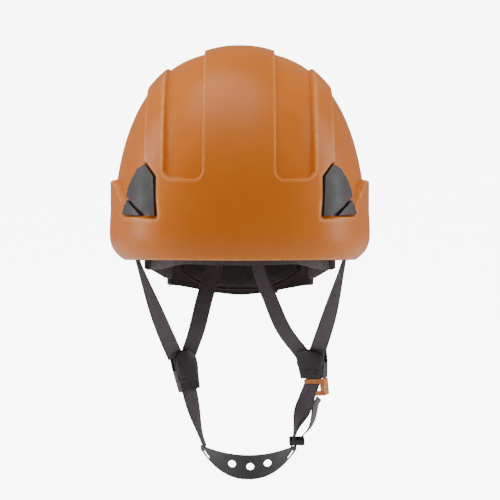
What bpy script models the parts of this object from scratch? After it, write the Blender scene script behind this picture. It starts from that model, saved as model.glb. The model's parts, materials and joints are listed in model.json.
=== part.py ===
"""Arborist helmet: outer shell, cradle, size adjuster, lamp clips and chin harness.

Metres, +Z up. The origin is the centre of the rim plane, the wearer faces -Y,
and the wearer's left is +X. Blender 4.5.
"""

import math

import bmesh
import bpy
from mathutils import Matrix, Vector

MM = 0.001

# Shell: a superellipsoid dome on a rim plane that rises towards the brow.
SHELL_HALF_WIDTH = 110.5 * MM
SHELL_HALF_FRONT = 136.0 * MM
SHELL_HALF_REAR = 146.0 * MM
SHELL_HEIGHT = 182.0 * MM
PLAN_POWER = 2.3
DOME_POWER = 2.52
RIM_SLOPE = 0.0875
SHELL_WALL = 3.0 * MM
RIM_TUCK = 13.0 * MM
RIM_TUCK_HEIGHT = 30.0 * MM
SHELL_COLUMNS = 72
SHELL_ROWS = 15

# Raised layers of the shell, as heights above the dome.
BAND_HALF = 29.0 * MM
BAND_RAISE = 4.6 * MM
CHANNEL_OUTER = 60.0 * MM
CHANNEL_FOOT = 76.0 * MM
RIDGE_OUTER = 76.0 * MM
RIDGE_RAISE = 2.4 * MM
BROW_RAISE = 3.0 * MM
SKIRT_HALF_WIDTH = 112.4 * MM
SKIRT_TOP = 69.0 * MM
LAYER_EDGE = 4.0 * MM

# Running gap between pieces.
GAP = 0.4 * MM

# Webbing.
WEB_WIDTH = 15.0 * MM
WEB_THICK = 1.4 * MM

# Head ring: headband in front, arms at the sides, nape unit behind.
BAND_THICK = 1.8 * MM
HEAD_HALF_WIDTH = 82.0 * MM
HEAD_HALF_FRONT = 92.0 * MM
HEADBAND_HEIGHT = 28.0 * MM
HEADBAND_LOW = 4.0 * MM
SWEAT_THICK = 4.0 * MM
ARM_X = 61.6 * MM
ARM_END_Y = 70.0 * MM
ARM_HEIGHT = 14.0 * MM
ARM_LOW = -20.0 * MM
NAPE_Y = 100.0 * MM
NAPE_HALF = 65.6 * MM
NAPE_FLAT = 38.0 * MM
NAPE_WING_Y = 46.0 * MM
NAPE_THICK = 2.4 * MM
NAPE_TOP = -3.0 * MM
NAPE_LOW = -42.0 * MM
NAPE_LIFT = 11.0 * MM
WING_LOW = -26.0 * MM
NAPE_PAD_HALF = 55.0 * MM

# Size adjuster: a knob turns a pinion that moves two racks.
ADJUST_Z = -28.0 * MM
KNOB_RADIUS = 12.8 * MM
KNOB_DEPTH = 9.0 * MM
PINION_PITCH_RADIUS = 6.0 * MM
PINION_TEETH = 12
TOOTH_HALF_HEIGHT = 0.7 * MM
RACK_LENGTH = 33.0 * MM
RACK_REACH = 17.5 * MM
RACK_DEPTH = 3.0 * MM

COVER_HALF_WIDTH = 35.0 * MM
COVER_HALF_HEIGHT = 12.5 * MM
COVER_DEPTH = 9.5 * MM
COVER_WALL = 1.5 * MM
SHAFT_RADIUS = 2.2 * MM
BORE_RADIUS = 2.6 * MM
KNOB_RIBS = 16
KNOB_GROOVE = 0.9 * MM
SPRING_RADII = (3.4 * MM, 5.2 * MM)
SPRING_DEPTH = 1.2 * MM

# Cradle: webbing over the head, from tab to tab.
CROWN_SPANS = {
    "front_left_to_rear_right": (40.0, -140.0),
    "side_to_side": (90.0, -90.0),
    "front_right_to_rear_left": (-40.0, 140.0),
}
CROWN_WEB_WIDTH = 20.0 * MM
CROWN_LAYER = 2.2 * MM
CROWN_FOOT_INSET = 17.0 * MM
CROWN_FOOT_Z = 40.0 * MM
CROWN_TOP_Z = 150.0 * MM
CROWN_PAD_RADIUS = 32.0 * MM
CROWN_PAD_DEPTH = 8.0 * MM
TAB_HALF_WIDTH = 12.0 * MM
TAB_LAYER = (1.2 * MM, 6.5 * MM)
TAB_LEVELS = (-12.0 * MM, 10.0 * MM)

# Anchors and pivots of the chin harness.
FRONT_ANCHOR = Vector((94.0, -40.0, 24.0)) * MM
FRONT_STRAP_BOW = 2.0 * MM
REAR_ANCHOR_Y = 104.0 * MM
REAR_ANCHOR_Z = 36.0 * MM
HARNESS_PIVOT = Vector((0.0, 20.0, 25.0)) * MM

# Ends of the V-straps in their divider's frame, and the way of the rear ones to it.
FRONT_STRAP_END = {"left": (5.5, -0.6, 9.6), "right": (-7.5, -0.6, 15.0)}
REAR_STRAP_END = {"left": (-10.5, 1.2, 9.0), "right": (8.0, 1.2, 15.0)}
REAR_STRAP_POINTS = {
    "left": ((12.0, 104.0, 36.0), (16.0, 72.0, -11.0), (26.6, 49.7, -38.5), (38.8, 31.5, -65.0)),
    "right": ((-16.0, 104.0, 36.0), (-24.0, 72.0, -11.0), (-32.1, 49.7, -38.5),
              (-38.8, 31.5, -65.0)),
}

# Side dividers, as boxes in their own frames: across, deep, high.
DIVIDER_YAW = math.radians(30.0)
DIVIDER_DEPTH = 8.0 * MM
DIVIDER_WALL = 1.2 * MM
LEVER_THICK = 2.0 * MM

# Slide latch of the buckle, in the left divider's frame.
KEEPER_CORNERS = ((44.0, 12.6, -167.4), (57.6, 33.8, -163.0))
KEEPER_WALL = 1.0 * MM
LATCH_CENTRE = Vector((1.6, 0.0, -20.6)) * MM
LATCH_HALF_WIDTH = 9.8 * MM
LATCH_HALF_HEIGHT = 7.4 * MM
LATCH_HALF_DEPTH = 4.4 * MM
LATCH_SIDE_WALL = 2.2 * MM
LATCH_FACE_WALL = 2.2 * MM
LATCH_BAR = 4.0 * MM
LATCH_HOOK = 9.0 * MM

# Chin cup.
CUP_CENTRE_X = 7.5 * MM
CUP_HALF_WIDTH = 43.0 * MM
CUP_TOP = -171.5 * MM
CUP_LOW = -192.5 * MM
CUP_THICK = 4.4 * MM
CUP_HOLE_RADIUS = 3.4 * MM
CUP_FRONT_Y = -14.0 * MM
CUP_BOW = 24.0 * MM
CUP_TIP_RISE = 3.0 * MM
CUP_BELLY = 20.5 * MM
CUP_HOLES = ((-14.5, -179.5), (1.5, -181.3), (16.8, -179.2))
TAIL_POINTS = ((71.0, 30.5, -127.5), (67.8, 28.8, -134.0), (65.4, 26.0, -146.0),
               (62.0, 24.5, -154.0), (55.4, 24.0, -161.5), (51.6, 24.0, -167.4))
RIGHT_WING = Vector((-31.5, 22.5, -171.0)) * MM
LEFT_WING = Vector((46.0, 22.5, -171.0)) * MM


def clear_scene():
    for obj in list(bpy.data.objects):
        bpy.data.objects.remove(obj)


def make_material(name, colour, roughness, metallic=0.0):
    material = bpy.data.materials.new(name)
    material.use_nodes = True
    shader = material.node_tree.nodes["Principled BSDF"]
    shader.inputs["Base Color"].default_value = (*colour, 1.0)
    shader.inputs["Roughness"].default_value = roughness
    shader.inputs["Metallic"].default_value = metallic
    material.diffuse_color = (*colour, 1.0)
    return material


def add_object(name, bm, material, smooth=True, origin=None):
    """Make an object from a bmesh. Its origin goes to the given point, if there is one."""
    bmesh.ops.recalc_face_normals(bm, faces=bm.faces)
    if bm.calc_volume(signed=True) < 0.0:
        bmesh.ops.reverse_faces(bm, faces=bm.faces)
    if origin is not None:
        bmesh.ops.translate(bm, verts=bm.verts, vec=-Vector(origin))
    mesh = bpy.data.meshes.new(name)
    bm.to_mesh(mesh)
    bm.free()
    if smooth:
        mesh.shade_smooth()
        mesh.set_sharp_from_angle(angle=math.radians(35.0))
    mesh.materials.append(material)
    obj = bpy.data.objects.new(name, mesh)
    if origin is not None:
        obj.location = origin
    bpy.context.scene.collection.objects.link(obj)
    return obj


def hang(obj, pivot):
    """Parent a piece to a pivot without moving it."""
    bpy.context.view_layer.update()
    obj.parent = pivot
    obj.matrix_parent_inverse = pivot.matrix_world.inverted()


def add_bevel(obj, width, segments=1):
    bevel = obj.modifiers.new("edges", "BEVEL")
    bevel.width = width
    bevel.segments = segments
    bevel.limit_method = "ANGLE"
    bevel.angle_limit = math.radians(50.0)


def cut(obj, cutter):
    """Take the cutter's shape out of the object, and keep the cutter as a hidden guide."""
    boolean = obj.modifiers.new("cut_" + cutter.name, "BOOLEAN")
    boolean.operation = "DIFFERENCE"
    boolean.object = cutter
    cutter.hide_render = True
    cutter.display_type = "WIRE"


def box_mesh(low, high):
    bm = bmesh.new()
    bmesh.ops.create_cube(bm, size=1.0)
    low, high = Vector(low), Vector(high)
    for vert in bm.verts:
        part = vert.co + Vector((0.5, 0.5, 0.5))
        vert.co = low + Vector(part[i] * (high - low)[i] for i in range(3))
    return bm


def prism_mesh(outline, low, high):
    """Extrude an upright outline, given across and up, from one depth to another."""
    bm = bmesh.new()
    face = bm.faces.new([bm.verts.new((a, low, b)) for a, b in outline])
    step = Vector((0.0, high - low, 0.0))
    grown = bmesh.ops.extrude_face_region(bm, geom=[face])
    moved = [item for item in grown["geom"] if isinstance(item, bmesh.types.BMVert)]
    bmesh.ops.translate(bm, verts=moved, vec=step)
    return bm


def disc_mesh(radius, depth, centre, axis, segments=24):
    bm = bmesh.new()
    turn = Vector((0.0, 0.0, 1.0)).rotation_difference(Vector(axis)).to_matrix().to_4x4()
    bmesh.ops.create_cone(bm, cap_ends=True, segments=segments, radius1=radius, radius2=radius,
                          depth=depth, matrix=Matrix.Translation(Vector(centre)) @ turn)
    return bm


def loft_mesh(rings):
    """Join rings of points, each of the same count, into one closed body."""
    bm = bmesh.new()
    loops = [[bm.verts.new(point) for point in ring] for ring in rings]
    count = len(loops[0])
    for one, two in zip(loops, loops[1:]):
        for i in range(count):
            j = (i + 1) % count
            bm.faces.new((one[i], one[j], two[j], two[i]))
    bm.faces.new(loops[0])
    bm.faces.new(list(reversed(loops[-1])))
    return bm


def ribbon_mesh(path, sides, width, thick):
    """Sweep a flat strip along a path. Each station has a direction for the strip's width."""
    rings = []
    last = len(path) - 1
    for i, (point, side) in enumerate(zip(path, sides)):
        along = (path[min(i + 1, last)] - path[max(i - 1, 0)]).normalized()
        across = (side - along * side.dot(along)).normalized() * width / 2
        out = along.cross(across).normalized() * thick / 2
        rings.append((point + across + out, point - across + out,
                      point - across - out, point + across - out))
    return loft_mesh(rings)


def smooth_step(low, high, value):
    part = min(max((value - low) / (high - low), 0.0), 1.0)
    return part * part * (3.0 - 2.0 * part)


def curve_through(start, middle, end, count):
    """Points of the quadratic curve through three points."""
    control = middle * 2.0 - (start + end) * 0.5
    points = []
    for i in range(count):
        t = i / (count - 1)
        points.append(start * (1 - t) ** 2 + control * 2 * t * (1 - t) + end * t * t)
    return points


def through(points, steps):
    """A smooth path through points, with a number of steps from each to the next."""
    path = []
    last = len(points) - 1
    for i in range(last):
        before, after = points[max(i - 1, 0)], points[min(i + 2, last)]
        here, there = points[i], points[i + 1]
        for k in range(steps):
            t = k / steps
            pull = (there - before) * (t - 2 * t * t + t ** 3) / 2
            push = (after - here) * (t ** 3 - t * t) / 2
            blend = t * t * (3 - 2 * t)
            path.append(here * (1 - blend) + there * blend + pull + push)
    path.append(points[-1])
    return path


# ---------------------------------------------------------------- shell surface


def plan_radius(angle, raise_by):
    """Radius of the dome's foot, in plan, at an angle from straight ahead."""
    half_length = SHELL_HALF_FRONT if math.cos(angle) > 0 else SHELL_HALF_REAR
    across = abs(math.sin(angle)) / (SHELL_HALF_WIDTH + raise_by)
    along = abs(math.cos(angle)) / (half_length + raise_by)
    return (across ** PLAN_POWER + along ** PLAN_POWER) ** (-1.0 / PLAN_POWER)


def dome_shrink(height):
    """Size of the dome's level section at a height, against its foot."""
    part = min(max(height / SHELL_HEIGHT, 0.0), 1.0)
    return (1.0 - part ** DOME_POWER) ** (1.0 / DOME_POWER)


def shell_point(angle, height, raise_by):
    """Point of the dome at a height above the rim, raised outwards by a distance."""
    rim_y = -plan_radius(angle, 0.0) * math.cos(angle)
    rim_z = -RIM_SLOPE * rim_y * (1.0 - height / SHELL_HEIGHT)
    radius = plan_radius(angle, raise_by) * dome_shrink(height + rim_z * 0.5)
    if height >= SHELL_HEIGHT:
        radius = 0.0
    level = (height + rim_z) * (1.0 + raise_by * height / SHELL_HEIGHT ** 2)
    return Vector((radius * math.sin(angle), -radius * math.cos(angle), level))


def shell_raise(angle, height):
    """Height of the shell's raised layers above the dome, at one place."""
    base = shell_point(angle, height, 0.0)
    x = abs(base.x)
    band = 1.0 - smooth_step(BAND_HALF - LAYER_EDGE / 2, BAND_HALF + LAYER_EDGE / 2, x)
    ridge = smooth_step(CHANNEL_OUTER - LAYER_EDGE / 2, CHANNEL_OUTER + LAYER_EDGE / 2, x)
    ridge *= 1.0 - smooth_step(RIDGE_OUTER - LAYER_EDGE / 2, RIDGE_OUTER + LAYER_EDGE / 2, x)
    top = max(band * BAND_RAISE, ridge * RIDGE_RAISE)
    low = 1.0 - smooth_step(CHANNEL_FOOT - LAYER_EDGE, CHANNEL_FOOT + LAYER_EDGE, base.z)
    end_on = 1.0 - smooth_step(RIDGE_OUTER, RIDGE_OUTER + 3 * LAYER_EDGE, x)
    brow = low * end_on * BROW_RAISE
    sideways = smooth_step(0.72, 0.98, abs(math.sin(angle)))
    skirt_top = (0.6 + 0.4 * sideways) * SKIRT_TOP
    wall = SKIRT_HALF_WIDTH / dome_shrink(height) - SHELL_HALF_WIDTH if height < SKIRT_TOP else 0.0
    skirt = wall * (1.0 - smooth_step(skirt_top - LAYER_EDGE, skirt_top, height))
    raised = max(top, brow, skirt)
    tuck = RIM_TUCK * (0.5 + 0.5 * abs(math.sin(angle)))
    lift = max(1.0 - height / RIM_TUCK_HEIGHT, 0.0)
    return raised - tuck * lift ** 3.5


def row_height(row, rows):
    """Heights of the shell's rows: close together at the rim and over the crown."""
    part = row / rows
    return SHELL_HEIGHT * math.sin(part * math.pi / 2) ** 1.15


def shell_rings(rows, rise):
    rings = []
    for row in range(rows):
        height = row_height(row, rows)
        ring = []
        for column in range(SHELL_COLUMNS):
            angle = 2.0 * math.pi * column / SHELL_COLUMNS
            ring.append(shell_point(angle, height, rise(angle, height)))
        rings.append(ring)
    return rings


def inner_raise(angle, height):
    lift = max(1.0 - height / RIM_TUCK_HEIGHT, 0.0)
    tuck = RIM_TUCK * (0.5 + 0.5 * abs(math.sin(angle)))
    return -SHELL_WALL - tuck * lift ** 3.5


def make_shell(material):
    bm = bmesh.new()
    surfaces = []
    for rows, rise in ((SHELL_ROWS, shell_raise), (SHELL_ROWS - 4, inner_raise)):
        rings = [[bm.verts.new(p) for p in ring] for ring in shell_rings(rows, rise)]
        crown = bm.verts.new(shell_point(0.0, SHELL_HEIGHT, rise(0.0, SHELL_HEIGHT)))
        for one, two in zip(rings, rings[1:]):
            for i in range(SHELL_COLUMNS):
                j = (i + 1) % SHELL_COLUMNS
                bm.faces.new((one[i], one[j], two[j], two[i]))
        for i in range(SHELL_COLUMNS):
            bm.faces.new((rings[-1][i], rings[-1][(i + 1) % SHELL_COLUMNS], crown))
        surfaces.append(rings[0])
    outer, inner = surfaces
    for i in range(SHELL_COLUMNS):
        j = (i + 1) % SHELL_COLUMNS
        bm.faces.new((outer[i], outer[j], inner[j], inner[i]))
    return add_object("shell", bm, material)


# ---------------------------------------------------------------- lamp clips


def surface_y(x, z, raise_by):
    """Depth of the front of the dome at a place seen from the front."""
    y = -SHELL_HALF_FRONT
    for _ in range(12):
        angle = math.atan2(x, -y)
        rim_y = -plan_radius(angle, 0.0) * math.cos(angle)
        slope = -RIM_SLOPE * rim_y
        height = (z / (1.0 + raise_by / SHELL_HEIGHT * 0.4) - slope) / (1.0 - slope / SHELL_HEIGHT)
        rim_z = slope * (1.0 - height / SHELL_HEIGHT)
        shrink = dome_shrink(height + rim_z * 0.5)
        across = (abs(x) / (SHELL_HALF_WIDTH + raise_by)) ** PLAN_POWER
        left = max(shrink ** PLAN_POWER - across, 1e-6)
        y = -(SHELL_HALF_FRONT + raise_by) * left ** (1.0 / PLAN_POWER)
    return y


def clip_mesh(outline, low, high, side, front):
    """A plate that follows the dome, from its outline seen from the front."""
    bm = bmesh.new()
    bm.faces.new([bm.verts.new((x * MM, 0.0, z * MM)) for x, z in outline])
    for level in (52.0, 60.0, 68.0, 76.0):
        geom = bm.verts[:] + bm.edges[:] + bm.faces[:]
        bmesh.ops.bisect_plane(bm, geom=geom, plane_co=(0, 0, level * MM), plane_no=(0, 0, 1))
    for level in (80.0, 88.0):
        geom = bm.verts[:] + bm.edges[:] + bm.faces[:]
        bmesh.ops.bisect_plane(bm, geom=geom, plane_co=(level * MM, 0, 0), plane_no=(1, 0, 0))
    bmesh.ops.triangulate(bm, faces=bm.faces)
    grown = bmesh.ops.extrude_face_region(bm, geom=bm.faces[:])
    top = {item for item in grown["geom"] if isinstance(item, bmesh.types.BMVert)}
    for vert in bm.verts:
        x, z = vert.co.x, vert.co.z
        normal = clip_normal(x, z)
        foot = Vector((x, surface_y(x, z, 0.0), z))
        vert.co = foot + normal * (high if vert in top else low)
        vert.co.x *= side
        if not front:
            vert.co.y *= -SHELL_HALF_REAR / SHELL_HALF_FRONT
    return bm


def clip_normal(x, z):
    """Outward direction of the dome at a place seen from the front."""
    step = 1.0 * MM
    right = Vector((2 * step, surface_y(x + step, z, 0.0) - surface_y(x - step, z, 0.0), 0.0))
    up = Vector((0.0, surface_y(x, z + step, 0.0) - surface_y(x, z - step, 0.0), 2 * step))
    return right.cross(up).normalized()


CLIP_PLATE = ((75.1, 87.5), (68.0, 78.0), (66.8, 48.1), (73.9, 47.4), (92.0, 60.9), (89.9, 66.7),
              (86.6, 74.5), (81.5, 83.5))
CLIP_TONGUE = ((90.6, 57.3), (95.9, 45.4), (79.7, 45.4))


def make_lamp_clips(plate_material):
    for end, front in (("front", True), ("rear", False)):
        for hand, side in (("left", 1), ("right", -1)):
            name = f"lamp_clip_{end}_{hand}"
            bm = clip_mesh(CLIP_PLATE, 3.6 * MM, 6.0 * MM, side, front)
            add_object(name, bm, plate_material, smooth=False)
            bm = clip_mesh(CLIP_TONGUE, 3.6 * MM, 5.6 * MM, side, front)
            hinge = clip_hinge(side, front)[0]
            add_object(f"lamp_tongue_{end}_{hand}", bm, plate_material, smooth=False,
                       origin=hinge)


def clip_hinge(side, front):
    """Point and direction of a tongue's bending line, along its lower edge."""
    ends = []
    for x, z in (CLIP_TONGUE[2], CLIP_TONGUE[1]):
        x, z = x * MM, z * MM
        point = Vector((x, surface_y(x, z, 0.0), z)) + clip_normal(x, z) * 4.6 * MM
        point.x *= side
        if not front:
            point.y *= -SHELL_HALF_REAR / SHELL_HALF_FRONT
        ends.append(point)
    return (ends[0] + ends[1]) / 2, (ends[1] - ends[0]).normalized()


# ---------------------------------------------------------------- cradle and head ring


def head_point(angle, grow, z):
    """Point of the headband's curve at an angle from straight ahead."""
    x = (HEAD_HALF_WIDTH + grow) * math.sin(angle)
    return Vector((x, -(HEAD_HALF_FRONT + grow) * math.cos(angle), z))


def curved_strip(inner, outer, low, high):
    """A strip between two plan curves; low and high give its edges along the way."""
    rings = []
    for i, (near, far) in enumerate(zip(inner, outer)):
        rings.append((Vector((*near.xy, low(i))), Vector((*far.xy, low(i))),
                      Vector((*far.xy, high(i))), Vector((*near.xy, high(i)))))
    return loft_mesh(rings)


def make_headband(plastic, foam):
    count = 25
    reach = math.radians(84.0)
    angles = [reach * (2 * i / (count - 1) - 1) for i in range(count)]
    inner = [head_point(a, 0.0, 0.0) for a in angles]
    outer = [head_point(a, BAND_THICK, 0.0) for a in angles]

    def drop(i):
        return HEADBAND_LOW - 10.0 * MM * smooth_step(0.5, 1.0, abs(math.sin(angles[i])))

    bm = curved_strip(inner, outer, drop, lambda i: drop(i) + HEADBAND_HEIGHT)
    add_object("headband_front", bm, plastic)
    reach = math.radians(48.0)
    angles = [reach * (2 * i / (count - 1) - 1) for i in range(count)]
    inner = [head_point(a, -GAP - SWEAT_THICK, 0.0) for a in angles]
    outer = [head_point(a, -GAP, 0.0) for a in angles]
    low = HEADBAND_LOW + 2.0 * MM
    bm = curved_strip(inner, outer, lambda i: low, lambda i: low + HEADBAND_HEIGHT - 4.0 * MM)
    add_object("sweatband", bm, foam)


def make_arms(plastic):
    """Side arms of the headband; their straight ends slide inside the nape unit's wings."""
    for hand, side in (("left", 1), ("right", -1)):
        start = head_point(math.radians(87.0), 0.0, 0.0)
        path = [Vector((start.x, start.y, 0.0)), Vector((start.x - 5.5 * MM, 12.0 * MM, 0.0)),
                Vector((ARM_X + 4.0 * MM, 26.0 * MM, 0.0)), Vector((ARM_X, 33.0 * MM, 0.0)),
                Vector((ARM_X, ARM_END_Y, 0.0))]
        levels = [smooth_step(0.0, 33.0 * MM, p.y) for p in path]
        rings = []
        for p, level in zip(path, levels):
            low = -6.0 * MM + (ARM_LOW + 6.0 * MM) * level
            high = low + 22.0 * MM + (ARM_HEIGHT - 22.0 * MM) * level
            near, far = side * p.x, side * (p.x + BAND_THICK)
            rings.append((Vector((near, p.y, low)), Vector((far, p.y, low)),
                          Vector((far, p.y, high)), Vector((near, p.y, high))))
        add_object(f"headband_arm_{hand}", loft_mesh(rings), plastic)


def make_cradle(webbing, plastic, foam):
    """Three crown straps, each over the head from one hanger tab to the opposite one."""
    for i, (name, span) in enumerate(CROWN_SPANS.items()):
        top = CROWN_TOP_Z + i * CROWN_LAYER
        ends = []
        for degrees in span:
            angle = math.radians(degrees)
            radius = plan_radius(angle, 0.0) - CROWN_FOOT_INSET
            ends.append(Vector((radius * math.sin(angle), -radius * math.cos(angle), 0.0)))
        steps = 18
        path = []
        for k in range(steps + 1):
            turn = math.pi * k / steps
            foot = ends[0] if turn < math.pi / 2 else ends[1]
            flat = foot * abs(math.cos(turn)) ** 0.9
            level = CROWN_FOOT_Z + (top - CROWN_FOOT_Z) * math.sin(turn) ** 0.9
            path.append(Vector((flat.x, flat.y, level)))
        side = (ends[0] - ends[1]).cross(Vector((0.0, 0.0, 1.0))).normalized()
        bm = ribbon_mesh(path, [side] * len(path), CROWN_WEB_WIDTH, WEB_THICK)
        add_object("crown_strap_" + name, bm, webbing)
        for end, degrees in zip(ends, span):
            make_hanger_tab(end, degrees, plastic)
    centre = (0.0, 0.0, CROWN_TOP_Z - CROWN_PAD_DEPTH - 3.0 * MM)
    bm = disc_mesh(CROWN_PAD_RADIUS, CROWN_PAD_DEPTH, centre, (0, 0, 1))
    add_bevel(add_object("crown_pad", bm, foam), 2.5 * MM, 2)


def make_hanger_tab(end, degrees, plastic):
    """Snap tab between a crown strap's foot and the shell."""
    hand = "left" if degrees > 0 else "right"
    place = {40: "front", 90: "side", 140: "rear"}[round(abs(degrees))]
    bm = box_mesh((-TAB_HALF_WIDTH, TAB_LAYER[0], TAB_LEVELS[0]),
                  (TAB_HALF_WIDTH, TAB_LAYER[1], TAB_LEVELS[1]))
    out = end.normalized()
    turn = Vector((0.0, 1.0, 0.0)).rotation_difference(out).to_matrix().to_4x4()
    bmesh.ops.transform(bm, verts=bm.verts, matrix=turn)
    bmesh.ops.translate(bm, verts=bm.verts, vec=end + Vector((0.0, 0.0, CROWN_FOOT_Z)))
    add_bevel(add_object(f"hanger_tab_{place}_{hand}", bm, plastic, smooth=False), 1.0 * MM)


# ---------------------------------------------------------------- nape unit and adjuster


def nape_inner_y(x):
    """Depth of the nape unit's face against the head."""
    turn = max(abs(x) - NAPE_FLAT, 0.0) / (NAPE_HALF - NAPE_FLAT)
    return NAPE_Y - 24.0 * MM * (1.0 - math.sqrt(max(1.0 - turn * turn, 0.0)))


def nape_low(x):
    return NAPE_LOW + NAPE_LIFT * min(abs(x) / NAPE_HALF, 1.0) ** 1.5


def make_nape_housing(plastic):
    """Curved plate round the back of the head, with a straight wing on each side."""
    wing_x = ARM_X + BAND_THICK + GAP
    path = []
    for part in range(-10, 11):
        x = (wing_x + NAPE_THICK / 2) * math.sin(part / 10 * math.pi / 2)
        path.append(Vector((x, nape_inner_y(x) + NAPE_THICK / 2, 0.0)))
    path = [Vector((path[0].x, NAPE_WING_Y, 0.0))] + path + [Vector((path[-1].x, NAPE_WING_Y, 0.0))]
    rings = []
    last = len(path) - 1
    for i, p in enumerate(path):
        along = (path[min(i + 1, last)] - path[max(i - 1, 0)]).normalized()
        out = Vector((-along.y, along.x, 0.0)) * NAPE_THICK / 2
        low = Vector((0.0, 0.0, WING_LOW if i in (0, last) else nape_low(p.x)))
        high = Vector((0.0, 0.0, NAPE_TOP))
        rings.append((p - out + low, p + out + low, p + out + high, p - out + high))
    housing = add_object("nape_housing", loft_mesh(rings), plastic)
    bore = add_object("nape_shaft_bore", disc_mesh(BORE_RADIUS, 20.0 * MM, (0, NAPE_Y, ADJUST_Z),
                                                   (0, 1, 0), 20), plastic)
    cut(housing, bore)


def make_rear_cover(plastic):
    """Tray behind the nape plate that holds the racks, the pinion and the ratchet spring."""
    front = NAPE_Y + NAPE_THICK + GAP
    back = front + COVER_DEPTH
    half, tall, wall = COVER_HALF_WIDTH, COVER_HALF_HEIGHT, COVER_WALL
    cover = add_object("adjuster_cover", box_mesh((-half, front, ADJUST_Z - tall),
                                                  (half, back, ADJUST_Z + tall)), plastic, False)
    hollow = box_mesh((-half + wall, front - wall, ADJUST_Z - tall + wall),
                      (half - wall, back - wall, ADJUST_Z + tall - wall))
    cut(cover, add_object("cover_hollow", hollow, plastic, False))
    bore = disc_mesh(BORE_RADIUS, COVER_DEPTH, (0, back, ADJUST_Z), (0, 1, 0), 20)
    cut(cover, add_object("cover_shaft_bore", bore, plastic))
    return front, back


def gear_outline(teeth, radius, half_height):
    """Outline of a small gear with straight-sided teeth."""
    points = []
    pitch = 2 * math.pi / teeth
    for tooth in range(teeth):
        for turn, level in ((-0.25, -1.2), (-0.10, 1.0), (0.10, 1.0), (0.25, -1.2)):
            angle = math.pi / 2 + (tooth + turn) * pitch
            r = radius + half_height * level
            points.append((r * math.cos(angle), r * math.sin(angle)))
    return points


def rack_outline(outward):
    """A rack's outline: inner end past the pinion, teeth facing down."""
    pitch = 2 * math.pi * PINION_PITCH_RADIUS / PINION_TEETH
    tip = PINION_PITCH_RADIUS - TOOTH_HALF_HEIGHT
    root = PINION_PITCH_RADIUS + 1.5 * TOOTH_HALF_HEIGHT
    start, end = -RACK_REACH, RACK_LENGTH - RACK_REACH
    points = [(start, root + 3.0 * MM), (start, root)]
    count = int((end - start) / pitch) + 2
    first = math.floor(start / pitch)
    for tooth in range(first, first + count):
        centre = (tooth + 0.5) * pitch
        if centre - 0.25 * pitch <= start or centre + 0.25 * pitch >= end:
            continue
        points += [(centre - 0.22 * pitch, root), (centre - 0.10 * pitch, tip),
                   (centre + 0.10 * pitch, tip), (centre + 0.22 * pitch, root)]
    points += [(end, root), (end, root + 3.0 * MM)]
    return [(x * outward, z) for x, z in points]


def make_adjuster(plastic, dark, steel):
    make_nape_housing(plastic)
    front, back = make_rear_cover(plastic)
    axle = Vector((0.0, NAPE_Y, ADJUST_Z))
    rack_y = front + 0.8 * MM
    for hand, side, up in (("left", 1, 1), ("right", -1, -1)):
        outline = [(x, z * up + ADJUST_Z) for x, z in rack_outline(side)]
        bm = prism_mesh(outline, rack_y, rack_y + RACK_DEPTH)
        add_object(f"rack_{hand}", bm, dark, smooth=False)
    teeth = gear_outline(PINION_TEETH, PINION_PITCH_RADIUS, TOOTH_HALF_HEIGHT)
    bm = prism_mesh([(x, z + ADJUST_Z) for x, z in teeth], rack_y, rack_y + RACK_DEPTH)
    pinion = add_object("adjuster_pinion", bm, dark, smooth=False, origin=axle)
    shaft = disc_mesh(SHAFT_RADIUS, back - NAPE_Y + 4.0 * MM,
                      (0, (NAPE_Y + back + 4.0 * MM) / 2, ADJUST_Z), (0, 1, 0), 20)
    union = pinion.modifiers.new("shaft", "BOOLEAN")
    union.operation = "UNION"
    union.object = add_object("pinion_shaft", shaft, dark)
    union.object.hide_render = True
    union.object.display_type = "WIRE"
    knob_front = back + GAP
    outline = []
    for i in range(KNOB_RIBS * 4):
        angle = 2 * math.pi * i / (KNOB_RIBS * 4)
        r = KNOB_RADIUS - (KNOB_GROOVE if i % 4 in (0, 1) else 0.0)
        outline.append((r * math.cos(angle), r * math.sin(angle) + ADJUST_Z))
    bm = prism_mesh(outline, knob_front, knob_front + KNOB_DEPTH)
    knob = add_object("adjuster_knob", bm, dark, smooth=False, origin=axle)
    bore = disc_mesh(BORE_RADIUS, 10.0 * MM, (0, knob_front, ADJUST_Z), (0, 1, 0), 20)
    cut(knob, add_object("knob_bore", bore, dark))
    make_ratchet_spring(rack_y + RACK_DEPTH + GAP, steel)


def make_ratchet_spring(y, steel):
    """Flat C-shaped spring round the shaft, behind the pinion."""
    inner, outer = SPRING_RADII
    turns = [math.radians(40 + 280 * i / 14) for i in range(15)]
    outline = [(outer * math.sin(t), outer * math.cos(t) + ADJUST_Z) for t in turns]
    outline += [(inner * math.sin(t), inner * math.cos(t) + ADJUST_Z) for t in reversed(turns)]
    add_object("ratchet_spring", prism_mesh(outline, y, y + SPRING_DEPTH), steel, smooth=False)


def make_nape_pad(foam):
    count = 17
    xs = [NAPE_PAD_HALF * (2 * i / (count - 1) - 1) for i in range(count)]
    inner = [Vector((x, nape_inner_y(x) - GAP - 4.0 * MM, 0.0)) for x in xs]
    outer = [Vector((x, nape_inner_y(x) - GAP - 0.3 * MM, 0.0)) for x in xs]

    def smile(i):
        return NAPE_LOW + 7.0 * MM + 18.0 * MM * (abs(xs[i]) / NAPE_PAD_HALF) ** 3.2

    bm = curved_strip(inner, outer, smile, lambda i: NAPE_TOP - 3.0 * MM)
    add_object("nape_pad", bm, foam)


# ---------------------------------------------------------------- chin harness


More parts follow.
